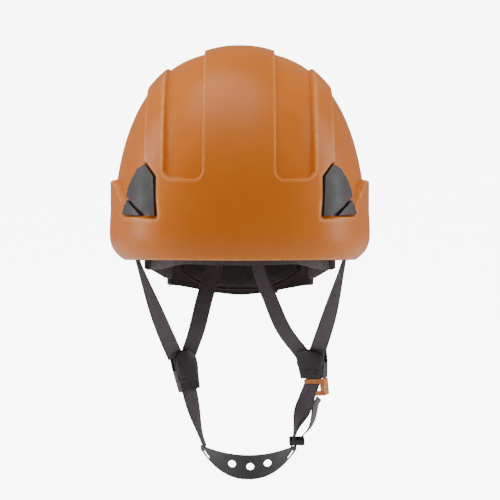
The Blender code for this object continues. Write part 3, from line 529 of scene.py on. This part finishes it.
def make_shell():
    bm = bmesh.new()
    feet = []
    for rows, rise in ((ROWS, shell_raise), (INNER_ROWS, inner_raise)):
        rings = []
        for row in range(rows):
            height = row_height(row, rows)
            angles = column_angles(height)
            rings.append([bm.verts.new(shell_point(a, height, rise(a, height))) for a in angles])
        crown = bm.verts.new(shell_point(0.0, DOME_HEIGHT, rise(0.0, DOME_HEIGHT)))
        for one, two in zip(rings, rings[1:]):
            for i in range(COLUMNS):
                j = (i + 1) % COLUMNS
                bm.faces.new((one[i], one[j], two[j], two[i]))
        for i in range(COLUMNS):
            bm.faces.new((rings[-1][i], rings[-1][(i + 1) % COLUMNS], crown))
        feet.append(rings[0])
    outer, inner = feet
    for i in range(COLUMNS):
        j = (i + 1) % COLUMNS
        bm.faces.new((outer[i], outer[j], inner[j], inner[i]))
    shell = add_piece("shell_moulded", bm, ORANGE, 50.0)
    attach(shell, "root")
    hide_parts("shell")


def clip_plate(name, outline, low, high, side, front):
    """A plate that follows the dome, cut from an outline seen from the front."""
    bm = bmesh.new()
    bm.faces.new([bm.verts.new((x * MM, 0.0, z * MM)) for x, z in outline])
    for axis, first, last in ((2, 48, 88), (0, 68, 96)):
        normal = [0.0, 0.0, 0.0]
        normal[axis] = 1.0
        for level in range(first, last, 3):
            geom = bm.verts[:] + bm.edges[:] + bm.faces[:]
            bmesh.ops.bisect_plane(bm, geom=geom, plane_co=[n * level * MM for n in normal],
                                   plane_no=normal)
    grown = bmesh.ops.extrude_face_region(bm, geom=bm.faces[:])
    top = {item for item in grown["geom"] if isinstance(item, bmesh.types.BMVert)}
    for vert in bm.verts:
        x, z = vert.co.x, vert.co.z
        crowned = 0.0
        if vert in top:
            crowned = 0.7 * MM * smooth_step(0.0, 8.0, inside_margin(outline, x / MM, z / MM))
        foot = Vector((x, surface_y(x, z), z))
        vert.co = foot + surface_normal(x, z) * ((high + crowned) if vert in top else low)
        vert.co.x *= side
        if not front:
            vert.co.y *= -HALF_REAR / HALF_FRONT
    piece = add_piece(name, bm, BLACK, 35.0)
    round_edges(piece, 0.7 * MM, 3, 40.0)
    return piece


def make_lamp_clips():
    for end in ("front", "rear"):
        for hand, side in (("left", 1), ("right", -1)):
            key = f"{end}_{hand}"
            bed = clip_plate(f"clip_bed_{key}", CLIP_BED, -0.6 * MM, -0.1 * MM, side, end == "front")
            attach(bed, "root")
            plate = clip_plate(f"clip_plate_{key}", CLIP_PLATE, 0.1 * MM, 3.4 * MM, side,
                               end == "front")
            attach(plate, "root")
            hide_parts(f"lamp_clip_{key}")
            tongue = clip_plate(f"clip_tongue_{key}", CLIP_TONGUE, 0.3 * MM, 3.0 * MM, side,
                                end == "front")
            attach(tongue, f"tongue_{key}")
            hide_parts(f"lamp_tongue_{key}")


# ---------------------------------------------------------------- webbing


def webbing(name, path, sides, body=None, node=None, width=WEB_WIDTH, thick=WEB_THICK):
    """A woven strip with thin round selvedges, swept along a path."""
    half = width / 2
    profile = ((-1.0, 0.0), (-0.97, 0.42), (-0.86, 0.5), (-0.5, 0.46), (0.0, 0.46), (0.5, 0.46),
               (0.86, 0.5), (0.97, 0.42), (1.0, 0.0), (0.97, -0.42), (0.86, -0.5), (0.5, -0.46),
               (0.0, -0.46), (-0.5, -0.46), (-0.86, -0.5), (-0.97, -0.42))
    rings = []
    last = len(path) - 1
    for i, (point, side) in enumerate(zip(path, sides)):
        along = (path[min(i + 1, last)] - path[max(i - 1, 0)]).normalized()
        across = (side - along * side.dot(along)).normalized()
        out = along.cross(across).normalized()
        rings.append([point + across * a * half + out * b * thick for a, b in profile])
    bm = loft(rings, [a * half / MM for a, b in profile])
    piece = add_piece(name, bm, WEB, 60.0)
    if body:
        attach(piece, body)
    if node:
        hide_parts(node)
    return piece


def through(points, count):
    """Smooth curve through a few points."""
    path = []
    padded = [points[0] * 2 - points[1]] + list(points) + [points[-1] * 2 - points[-2]]
    spans = len(points) - 1
    for i in range(count):
        place = i / (count - 1) * spans
        k = min(int(place), spans - 1)
        t = place - k
        a, b, c, d = padded[k:k + 4]
        path.append(0.5 * ((2 * b) + (c - a) * t + (2 * a - 5 * b + 4 * c - d) * t * t
                           + (3 * b - a - 3 * c + d) * t ** 3))
    return path


# ---------------------------------------------------------------- chin harness

FRONT_ANCHOR = Vector((94.0, -40.0, 24.0)) * MM
DIVIDER_YAW = math.radians(30.0)
DIVIDER_DEPTH = 8.0 * MM
DIVIDER_SIZE = {"left": (27.0 * MM, 25.0 * MM), "right": (22.0 * MM, 36.0 * MM)}
# Strap ends in their divider's own frame, in millimetres.
FRONT_STRAP_END = {"left": (5.5, -0.6, 9.6), "right": (-7.5, -0.6, 15.0)}
REAR_STRAP_END = {"left": (-10.5, 1.2, 9.0), "right": (8.0, 1.2, 15.0)}
REAR_STRAP_POINTS = {
    "left": ((12.0, 101.0, 36.0), (16.0, 72.0, -11.0), (26.6, 49.7, -38.5), (38.8, 31.5, -65.0)),
    "right": ((-16.0, 101.0, 36.0), (-24.0, 72.0, -11.0), (-32.1, 49.7, -38.5),
              (-38.8, 31.5, -65.0)),
}
TAIL_POINTS = ((71.0, 30.5, -127.5), (67.8, 28.8, -134.0), (65.4, 26.0, -146.0),
               (62.0, 24.5, -154.0), (55.4, 24.0, -161.5), (51.6, 24.0, -167.4))
RIGHT_WING = Vector((-31.5, 22.5, -171.0)) * MM
LEFT_WING = Vector((46.0, 22.5, -171.0)) * MM
CUP_CENTRE_X = 7.5 * MM
CUP_HALF_WIDTH = 43.0 * MM
CUP_TOP = -171.5 * MM
CUP_LOW = -192.5 * MM
CUP_THICK = 4.4 * MM
CUP_FRONT_Y = -14.0 * MM
CUP_BOW = 32.0 * MM
CUP_TIP_RISE = 3.0 * MM
CUP_BELLY = 20.5 * MM
CUP_BULGE = 0.6 * MM
CUP_HOLES = ((-14.5, -179.5), (1.5, -181.3), (16.8, -179.2))
CUP_HOLE_RADIUS = 3.4 * MM
CUP_CUT = 80.0 * MM
SLOT_OUT = 37.3 * MM
SLOT_Z = -175.2 * MM
SLOT_SIZE = (1.5 * MM, CUP_CUT, 7.5 * MM)


def divider_frame(side):
    """Place of a side divider: its own axes run across, deep (towards the back) and up."""
    if side < 0:
        centre, tilt = Vector((-48.8, 18.0, -100.5)) * MM, math.radians(-11.0)
    else:
        centre, tilt = Vector((64.7, 18.0, -94.7)) * MM, math.radians(-6.0)
    yaw = DIVIDER_YAW if side < 0 else -DIVIDER_YAW
    place = Matrix.Translation(centre)
    return place @ Matrix.Rotation(tilt, 4, "Y") @ Matrix.Rotation(yaw, 4, "Z")


def in_frame(place, x, y, z):
    return place @ (Vector((x, y, z)) * MM)


def make_v_straps():
    """Front and rear webbing of each side."""
    count = 46
    turn = [smooth_step(0.0, 1.0, i / (count - 1)) for i in range(count)]
    for hand, side in (("left", 1), ("right", -1)):
        place = divider_frame(side)
        across = (place.to_3x3() @ Vector((1.0, 0.0, 0.0))) * side
        end = in_frame(place, *FRONT_STRAP_END[hand])
        start = Vector((FRONT_ANCHOR.x * side, FRONT_ANCHOR.y, FRONT_ANCHOR.z))
        bow = Vector((2.0 * MM * side, 0.0, 0.0))
        path = curve_through(start, start.lerp(end, 0.5) + bow, end, count)
        sides = [Vector((0.0, 1.0, 0.0)).lerp(-across, t) for t in turn]
        front = webbing(f"web_front_{hand}", path, sides, node=f"strap_front_{hand}")
        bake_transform(front)
        points = [Vector(point) * MM for point in REAR_STRAP_POINTS[hand]]
        path = through(points + [in_frame(place, *REAR_STRAP_END[hand])], count)
        first = Vector((math.cos(0.9), -math.sin(0.9), 0.0)) if side > 0 else Vector((1.0, 0, 0))
        last = across if side > 0 else -across
        sides = [first.lerp(last, t) for t in turn]
        rear = webbing(f"web_rear_{hand}", path, sides, node=f"strap_rear_{hand}")
        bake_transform(rear)


def make_lower_straps():
    count = 36
    place = divider_frame(-1)
    start = in_frame(place, 0.0, 0.0, -14.0)
    across = place.to_3x3() @ Vector((1.0, 0.0, 0.0))
    middle = start.lerp(RIGHT_WING, 0.55) + Vector((-MM, 0, 0))
    path = curve_through(start, middle, RIGHT_WING, count)
    sides = [across.lerp(Vector((0.12, 1.0, 0.0)), smooth_step(0.0, 0.9, i / (count - 1)))
             for i in range(count)]
    webbing("web_lower_right", path, sides, "chin_harness", "strap_lower_right")
    place = divider_frame(1)
    across = place.to_3x3() @ Vector((1.0, 0.0, 0.0))
    start = in_frame(place, 0.0, 0.3, -12.5)
    middle = start.lerp(LEFT_WING, 0.55) + Vector((-1.0, 0.0, 0.0)) * MM
    path = [in_frame(place, 0.0, 0.3, -7.0)] + curve_through(start, middle, LEFT_WING, count)
    sides = [across.lerp(Vector((0.12, 1.0, 0.0)), smooth_step(0.1, 0.95, i / count))
             for i in range(count + 1)]
    webbing("web_lower_left", path, sides, "chin_harness", "strap_lower_left")
    path = through([Vector(point) * MM for point in TAIL_POINTS], 40)
    sides = [Vector((0.5, 1.0, 0.0)).lerp(Vector((0.1, 1.0, 0.0)), i / 39) for i in range(40)]
    webbing("web_tail", path, sides, "chin_harness", "strap_tail")


def make_divider_cover(hand, side):
    """Domed cover lever with a soft fold at its peak, and the dimpled grip below it."""
    width, height = DIVIDER_SIZE[hand]
    place = divider_frame(side)
    top = height / 2
    hinge = place @ Matrix.Translation(Vector((0.0, -DIVIDER_DEPTH / 2 - 1.4 * MM, top)))
    low, high = -height * 0.70, 1.6 * MM
    steps, arc = 30, 18
    rings = []
    for i in range(steps + 1):
        part = i / steps
        z = low + (high - low) * part
        half = (width / 2 - 0.6 * MM) * (0.86 + 0.14 * smooth_step(0.0, 0.35, part))
        half *= math.sqrt(max(1.0 - max((part - 0.52) / 0.482, 0.0) ** 2, 0.0004))
        half *= 0.9 + 0.1 * smooth_step(0.0, 0.05, part)
        rise = 3.0 * MM * smooth_step(0.0, 0.12, part) * (1.0 - 0.35 * part)
        rise *= min(1.0, half / (0.25 * width))
        fold = smooth_step(0.45, 0.9, part)
        lean = 0.3 * fold
        ring = []
        for k in range(arc + 1):
            across = 2 * k / arc - 1
            soft = math.sqrt(max(1.0 - across ** 2, 0.0))
            sharp = max(1.0 - abs(across - lean) / (1.0 - lean * math.copysign(1, across - lean)), 0)
            bulge = rise * (soft * (1.0 - fold) + (0.35 * soft + 0.65 * sharp) * fold)
            ring.append(Vector((across * half, -0.5 * MM - bulge, z)))
        ring += [Vector((half, 1.0 * MM, z)), Vector((-half, 1.0 * MM, z))]
        rings.append([hinge @ p for p in ring])
    cover = add_piece(f"divider_cover_{hand}", loft(rings), BLACK, 50.0)
    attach(cover, f"lever_{hand}")
    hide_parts(f"divider_lever_{hand}")
    bm = bmesh.new()
    face = -DIVIDER_DEPTH / 2
    for row in range(3 if height > 30 * MM else 2):
        for column in range(6):
            x = (column - 2.5 + 0.25 * (-1) ** row) * width / 8.5
            z = -top + 1.8 * MM + row * 2.3 * MM
            spot = place @ Matrix.Translation((x, face, z))
            bmesh.ops.create_icosphere(bm, subdivisions=2, radius=0.75 * MM, matrix=spot)
    dimples = add_piece(f"divider_grip_{hand}", bm, BLACK, 80.0)
    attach(dimples, "chin_harness")


def make_chin_cup():
    """Crescent cup with round edges, three holes, and a slot near the tip of each wing."""
    count = 61
    rings = []
    for i in range(count):
        part = 2 * i / (count - 1) - 1
        part = math.copysign(abs(part) ** 0.9, part)
        top = CUP_TOP + CUP_TIP_RISE * part * part
        low = CUP_LOW + CUP_BELLY * abs(part) ** 2.4
        x = CUP_CENTRE_X + CUP_HALF_WIDTH * part
        y = CUP_FRONT_Y + CUP_BOW * part * part
        ring = []
        steps = 6
        for k in range(steps + 1):
            z = low + (top - low) * k / steps
            dish = CUP_BULGE * math.sin(math.pi * k / steps)
            ring.append(Vector((x, y + CUP_THICK - dish, z)))
        for k in range(steps, -1, -1):
            z = low + (top - low) * k / steps
            bulge = CUP_BULGE * math.sin(math.pi * k / steps)
            ring.append(Vector((x, y - bulge, z)))
        rings.append(ring)
    cup = add_piece("cup_moulded", loft(rings), CUP, 50.0)
    for i, (dx, z) in enumerate(CUP_HOLES):
        bm = bmesh.new()
        place = Matrix.Translation(Vector((CUP_CENTRE_X + dx * MM, 0.0, z * MM)))
        bmesh.ops.create_cone(bm, cap_ends=True, segments=40, radius1=CUP_HOLE_RADIUS,
                              radius2=CUP_HOLE_RADIUS, depth=CUP_CUT,
                              matrix=place @ Matrix.Rotation(math.pi / 2, 4, "X"))
        cutter = add_piece(f"cup_cutter_{i + 1}", bm, CUP)
        boolean = cup.modifiers.new(cutter.name, "BOOLEAN")
        boolean.operation = "DIFFERENCE"
        boolean.object = cutter
    apply_modifiers(cup)
    for i in range(len(CUP_HOLES)):
        bpy.data.objects.remove(bpy.data.objects[f"cup_cutter_{i + 1}"])
    cut_wing_slots(cup)
    round_edges(cup, 0.7 * MM, 3, 45.0)
    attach(cup, "chin_harness")
    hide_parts("chin_cup")


def cut_wing_slots(cup):
    """Slanted slots through the cup's wings; the webbing ends behind them."""
    for side in (-1, 1):
        middle = Vector((CUP_CENTRE_X + side * SLOT_OUT, 0.0, SLOT_Z))
        bm = bmesh.new()
        bmesh.ops.create_cube(bm, size=1.0)
        lean = Matrix.Rotation(side * math.radians(40.0), 4, "Y")
        size = Matrix.Diagonal((*SLOT_SIZE, 1.0))
        bmesh.ops.transform(bm, verts=bm.verts, matrix=Matrix.Translation(middle) @ lean @ size)
        cutter = add_piece("slot_cutter", bm, CUP)
        boolean = cup.modifiers.new(cutter.name, "BOOLEAN")
        boolean.operation = "DIFFERENCE"
        boolean.object = cutter
        apply_modifiers(cup)
        bpy.data.objects.remove(cutter)


def apply_modifiers(obj):
    """Bake an object's modifiers into its mesh."""
    graph = bpy.context.evaluated_depsgraph_get()
    mesh = bpy.data.meshes.new_from_object(obj.evaluated_get(graph))
    obj.modifiers.clear()
    obj.data = mesh


# ---------------------------------------------------------------- soft pads

PUFF_PRESSURE = 4.0
PUFF_FRAMES = 20


def inflate(obj, cap, voxel):
    """Remesh a pad and blow it up as cloth, with its motion capped, and smooth it."""
    remesh = obj.modifiers.new("remesh", "REMESH")
    remesh.mode = "VOXEL"
    remesh.voxel_size = voxel
    apply_modifiers(obj)
    rest = [v.co.copy() for v in obj.data.vertices]
    cloth = obj.modifiers.new("cloth", "CLOTH")
    cloth.settings.use_pressure = True
    cloth.settings.uniform_pressure_force = PUFF_PRESSURE
    cloth.settings.effector_weights.gravity = 0.0
    cloth.settings.quality = 5
    cloth.point_cache.frame_start = 1
    cloth.point_cache.frame_end = PUFF_FRAMES
    scene = bpy.context.scene
    scene.frame_start, scene.frame_end = 1, PUFF_FRAMES
    for step in range(1, PUFF_FRAMES + 1):
        scene.frame_set(step)
    apply_modifiers(obj)
    for vert, start in zip(obj.data.vertices, rest):
        move = vert.co - start
        if move.length > cap:
            vert.co = start + move * (cap / move.length)
    scene.frame_set(1)
    obj.data.shade_smooth()
    soft = obj.modifiers.new("soft", "SUBSURF")
    soft.levels = soft.render_levels = 1


def curved_pad(name, inner, outer, low, high, node, body, cap):
    """A knit pad between two curves, from one level to another, puffed up by at most cap."""
    rings = []
    for i, (near, far) in enumerate(zip(inner, outer)):
        rings.append((Vector((*near.xy, low(i))), Vector((*far.xy, low(i))),
                      Vector((*far.xy, high(i))), Vector((*near.xy, high(i)))))
    pad = add_piece(name, loft(rings), KNIT)
    inflate(pad, cap, 1.6 * MM)
    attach(pad, body)
    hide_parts(node)


HEAD_HALF_WIDTH = 82.0 * MM
HEAD_HALF_FRONT = 92.0 * MM
NAPE_Y = 100.0 * MM
NAPE_HALF = 65.6 * MM
NAPE_FLAT = 38.0 * MM
NAPE_WING_Y = 46.0 * MM
NAPE_TOP = -3.0 * MM
NAPE_LOW = -42.0 * MM
WING_X = 65.0 * MM
WING_LOW = -26.0 * MM
PAD_HALF = 55.0 * MM
SWEATBAND_LOW = 7.0 * MM
SWEATBAND_HIGH = 29.0 * MM
CROWN_PAD_RADIUS = 30.0 * MM
CROWN_PAD_DEPTH = 5.0 * MM


def head_point(angle, grow):
    return Vector(((HEAD_HALF_WIDTH + grow) * math.sin(angle),
                   -(HEAD_HALF_FRONT + grow) * math.cos(angle), 0.0))


def nape_inner_y(x):
    turn = max(abs(x) - NAPE_FLAT, 0.0) / (NAPE_HALF - NAPE_FLAT)
    return NAPE_Y - 24.0 * MM * (1.0 - math.sqrt(max(1.0 - turn * turn, 0.0)))


def nape_low(x):
    return NAPE_LOW + 11.0 * MM * min(abs(x) / NAPE_HALF, 1.0) ** 1.5


def smile_line(x):
    """Lower edge of the nape pad, and of the rib that frames it."""
    return NAPE_LOW + 7.0 * MM + 18.0 * MM * (abs(x) / PAD_HALF) ** 3.2


def make_pads():
    count = 25
    reach = math.radians(48.0)
    angles = [reach * (2 * i / (count - 1) - 1) for i in range(count)]
    curved_pad("sweatband_cover", [head_point(a, -3.8 * MM) for a in angles],
               [head_point(a, -1.0 * MM) for a in angles], lambda i: SWEATBAND_LOW,
               lambda i: SWEATBAND_HIGH, "sweatband", "root", 1.0 * MM)
    xs = [(PAD_HALF - MM) * (2 * i / (count - 1) - 1) for i in range(count)]
    curved_pad("nape_pad_cover", [Vector((x, nape_inner_y(x) - 3.8 * MM, 0)) for x in xs],
               [Vector((x, nape_inner_y(x) - 1.4 * MM, 0)) for x in xs],
               lambda i: smile_line(xs[i]) + MM, lambda i: NAPE_TOP - 4.0 * MM,
               "nape_pad", "nape_unit", 0.8 * MM)
    low_corner, high_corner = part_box("crown_pad")
    bm = bmesh.new()
    middle = (Vector(low_corner) + Vector(high_corner)) / 2
    bmesh.ops.create_cone(bm, cap_ends=True, segments=48, radius1=CROWN_PAD_RADIUS,
                          radius2=CROWN_PAD_RADIUS, depth=CROWN_PAD_DEPTH,
                          matrix=Matrix.Translation(middle))
    pad = add_piece("crown_pad_cover", bm, KNIT)
    inflate(pad, 1.4 * MM, 2.0 * MM)
    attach(pad, "root")
    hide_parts("crown_pad")


# ---------------------------------------------------------------- nape unit and headband


def make_nape_housing():
    """Curved nape plate: flanged ends, a rolled lower lip and a smile-shaped moulded rib."""
    path = []
    for part in range(-40, 41):
        x = WING_X * math.sin(part / 40 * math.pi / 2)
        path.append(Vector((x, nape_inner_y(x) + 1.2 * MM, 0.0)))
    path = [Vector((path[0].x, NAPE_WING_Y, 0.0))] + path + [Vector((path[-1].x, NAPE_WING_Y, 0.0))]
    rings = []
    last = len(path) - 1
    for i, p in enumerate(path):
        along = (path[min(i + 1, last)] - path[max(i - 1, 0)]).normalized()
        out = Vector((-along.y, along.x, 0.0)) * 1.2 * MM
        low, high = WING_LOW if i in (0, last) else nape_low(p.x), NAPE_TOP
        levels = (low, low + 1.0 * MM, low + 2.2 * MM, (low + high) / 2, high - 2.0 * MM, high)
        lips = (1.7, 1.7, 1.0, 1.0, 1.0, 1.35)
        ring = [p - out * lip + Vector((0, 0, z)) for z, lip in zip(levels, lips)]
        ring += [p + out + Vector((0, 0, z)) for z in reversed(levels)]
        rings.append(ring)
    housing = add_piece("nape_plate", loft(rings), NAPE, 45.0)
    round_edges(housing, 0.4 * MM, 2, 40.0)
    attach(housing, "nape_unit")
    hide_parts("nape_housing")
    rib = []
    for i in range(49):
        part = 2 * i / 48 - 1
        x = (PAD_HALF + 1.5 * MM) * part
        rib.append(Vector((x, nape_inner_y(x) - 0.3 * MM, smile_line(x) - 1.8 * MM)))
    make_bead("nape_rib", rib, 0.9 * MM, NAPE, "nape_unit")


def make_bead(name, path, radius, material, body, segments=10):
    """A thin round moulding along a path."""
    rings = []
    last = len(path) - 1
    for i, p in enumerate(path):
        along = (path[min(i + 1, last)] - path[max(i - 1, 0)]).normalized()
        side = along.cross(Vector((0.0, 1.0, 0.0))).normalized()
        up = side.cross(along)
        shrink = min(1.0, 0.35 + 0.3 * min(i, last - i))
        rings.append([p + (side * math.cos(t) + up * math.sin(t)) * radius * shrink
                      for t in (2 * math.pi * k / segments for k in range(segments))])
    bead = add_piece(name, loft(rings), material, 60.0)
    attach(bead, body)


def finish_cad_nodes():
    """Carried-over frame pieces: round their edges and give each its finish."""
    finishes = {
        "headband_front": (NAPE, 0.5), "headband_arm_left": (NAPE, 0.5),
        "headband_arm_right": (NAPE, 0.5), "adjuster_cover": (NAPE, 0.9),
        "adjuster_knob": (BLACK, 0.35), "adjuster_pinion": (BLACK, 0.15),
        "rack_left": (BLACK, 0.15), "rack_right": (BLACK, 0.15),
        "ratchet_spring": (STEEL, 0.15), "anchor_front_left": (BLACK, 0.4),
        "anchor_front_right": (BLACK, 0.4), "anchor_rear_left": (STEEL, 0.4),
        "anchor_rear_right": (STEEL, 0.4), "divider_left": (BLACK, 1.0),
        "divider_right": (BLACK, 1.0), "buckle_latch": (LATCH, 0.6),
        "strap_keeper": (BLACK, 0.6),
    }
    for node, obj in frame["nodes"].items():
        finish, width = finishes.get(node, (None, 0.4))
        if node.startswith("hanger_tab"):
            finish, width = BLACK, 0.5
        if finish:
            obj.data.materials.clear()
            obj.data.materials.append(finish)
            round_edges(obj, width * MM, 3, 35.0)


CROWN_SPANS = (("front_left_to_rear_right", 40.0, -140.0), ("side_to_side", 90.0, -90.0),
               ("front_right_to_rear_left", -40.0, 140.0))
CROWN_FOOT_Z = 40.0 * MM
CROWN_TOP_Z = 150.0 * MM
CROWN_LAYER = 2.2 * MM
CROWN_FOOT_INSET = 17.0 * MM
CROWN_WEB_WIDTH = 20.0 * MM


def make_crown_straps():
    for i, (name, first, second) in enumerate(CROWN_SPANS):
        rise = CROWN_TOP_Z + i * CROWN_LAYER - CROWN_FOOT_Z
        ends = []
        for degrees in (first, second):
            angle = math.radians(degrees)
            radius = plan_radius(angle) - CROWN_FOOT_INSET
            ends.append(Vector((radius * math.sin(angle), -radius * math.cos(angle), 0.0)))
        path = []
        steps = 60
        for k in range(steps + 1):
            turn = math.pi * k / steps
            foot = ends[0] if turn < math.pi / 2 else ends[1]
            flat = foot * abs(math.cos(turn)) ** 0.9
            level = CROWN_FOOT_Z + rise * (math.sin(turn) ** 0.9 if 0 < k < steps else 0.0)
            path.append(Vector((flat.x, flat.y, level)))
        side = (ends[0] - ends[1]).cross(Vector((0.0, 0.0, 1.0))).normalized()
        webbing("crown_web_" + name, path, [side] * len(path), "root", "crown_strap_" + name,
                CROWN_WEB_WIDTH)


# ---------------------------------------------------------------- stage, light and camera

ROOM_LIGHT = 0.35
BACKDROP_LIGHT = 8.0
VIEW_WIDTH = 438.5 * MM
VIEW_DISTANCE = 1.6
VIEW_TILT = math.radians(5.0)
VIEW_TARGET = Vector((8.8, 0.0, 8.8)) * MM


def make_stage():
    bm = bmesh.new()
    bmesh.ops.create_grid(bm, x_segments=1, y_segments=1, size=6.0)
    mesh = bpy.data.meshes.new("floor")
    bm.to_mesh(mesh)
    bm.free()
    floor = bpy.data.objects.new("floor", mesh)
    floor.location.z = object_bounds()[0][2] - 2.0 * MM
    pale = Nodes("pale_floor")
    pale.set("Base Color", (0.93, 0.93, 0.93))
    pale.set("Roughness", 0.9)
    pale.set("Emission Color", (1.0, 1.0, 1.0))
    pale.set("Emission Strength", pale.math("MULTIPLY", camera_ray(pale.tree), BACKDROP_LIGHT))
    mesh.materials.append(pale.material)
    bpy.context.scene.collection.objects.link(floor)


def area_light(name, place, target, size, power):
    light = bpy.data.lights.new(name, "AREA")
    light.shape = "RECTANGLE"
    light.size, light.size_y = size
    light.energy = power
    obj = bpy.data.objects.new(name, light)
    obj.location = place
    direction = Vector(target) - Vector(place)
    obj.rotation_euler = direction.to_track_quat("-Z", "Y").to_euler()
    bpy.context.scene.collection.objects.link(obj)


def camera_ray(tree):
    return tree.nodes.new("ShaderNodeLightPath").outputs["Is Camera Ray"]


def make_light():
    """An even white room that looks brighter straight on, a key above and two side walls."""
    world = bpy.data.worlds.new("studio")
    world.use_nodes = True
    tree = world.node_tree
    room = tree.nodes["Background"]
    room.inputs["Color"].default_value = (1.0, 1.0, 1.0, 1.0)
    seen = tree.nodes.new("ShaderNodeMapRange")
    seen.inputs["To Min"].default_value = ROOM_LIGHT
    seen.inputs["To Max"].default_value = BACKDROP_LIGHT
    tree.links.new(camera_ray(tree), seen.inputs["Value"])
    tree.links.new(seen.outputs["Result"], room.inputs["Strength"])
    bpy.context.scene.world = world
    middle = (0.0, 0.0, 0.05)
    area_light("key_above", (-0.2, -0.35, 1.3), middle, (1.4, 1.0), 17.0)
    area_light("left_wall", (-1.3, 0.1, 0.25), middle, (0.4, 1.3), 11.0)
    area_light("right_wall", (1.3, 0.1, 0.25), middle, (0.4, 1.3), 11.0)


def make_camera():
    """A front view from slightly above, whose width at the target is VIEW_WIDTH."""
    camera = bpy.data.cameras.new("camera")
    camera.sensor_width = 36.0
    camera.lens = camera.sensor_width * VIEW_DISTANCE / VIEW_WIDTH
    camera.clip_start = 0.01
    obj = bpy.data.objects.new("camera", camera)
    back = Vector((0.0, -math.cos(VIEW_TILT), math.sin(VIEW_TILT)))
    obj.location = VIEW_TARGET + back * VIEW_DISTANCE
    obj.rotation_euler = (VIEW_TARGET - obj.location).to_track_quat("-Z", "Y").to_euler()
    bpy.context.scene.collection.objects.link(obj)
    bpy.context.scene.camera = obj


make_shell()
make_lamp_clips()
make_v_straps()
make_lower_straps()
make_divider_cover("left", 1)
make_divider_cover("right", -1)
make_crown_straps()
make_chin_cup()
make_nape_housing()
make_pads()
finish_cad_nodes()
make_stage()
make_light()
make_camera()
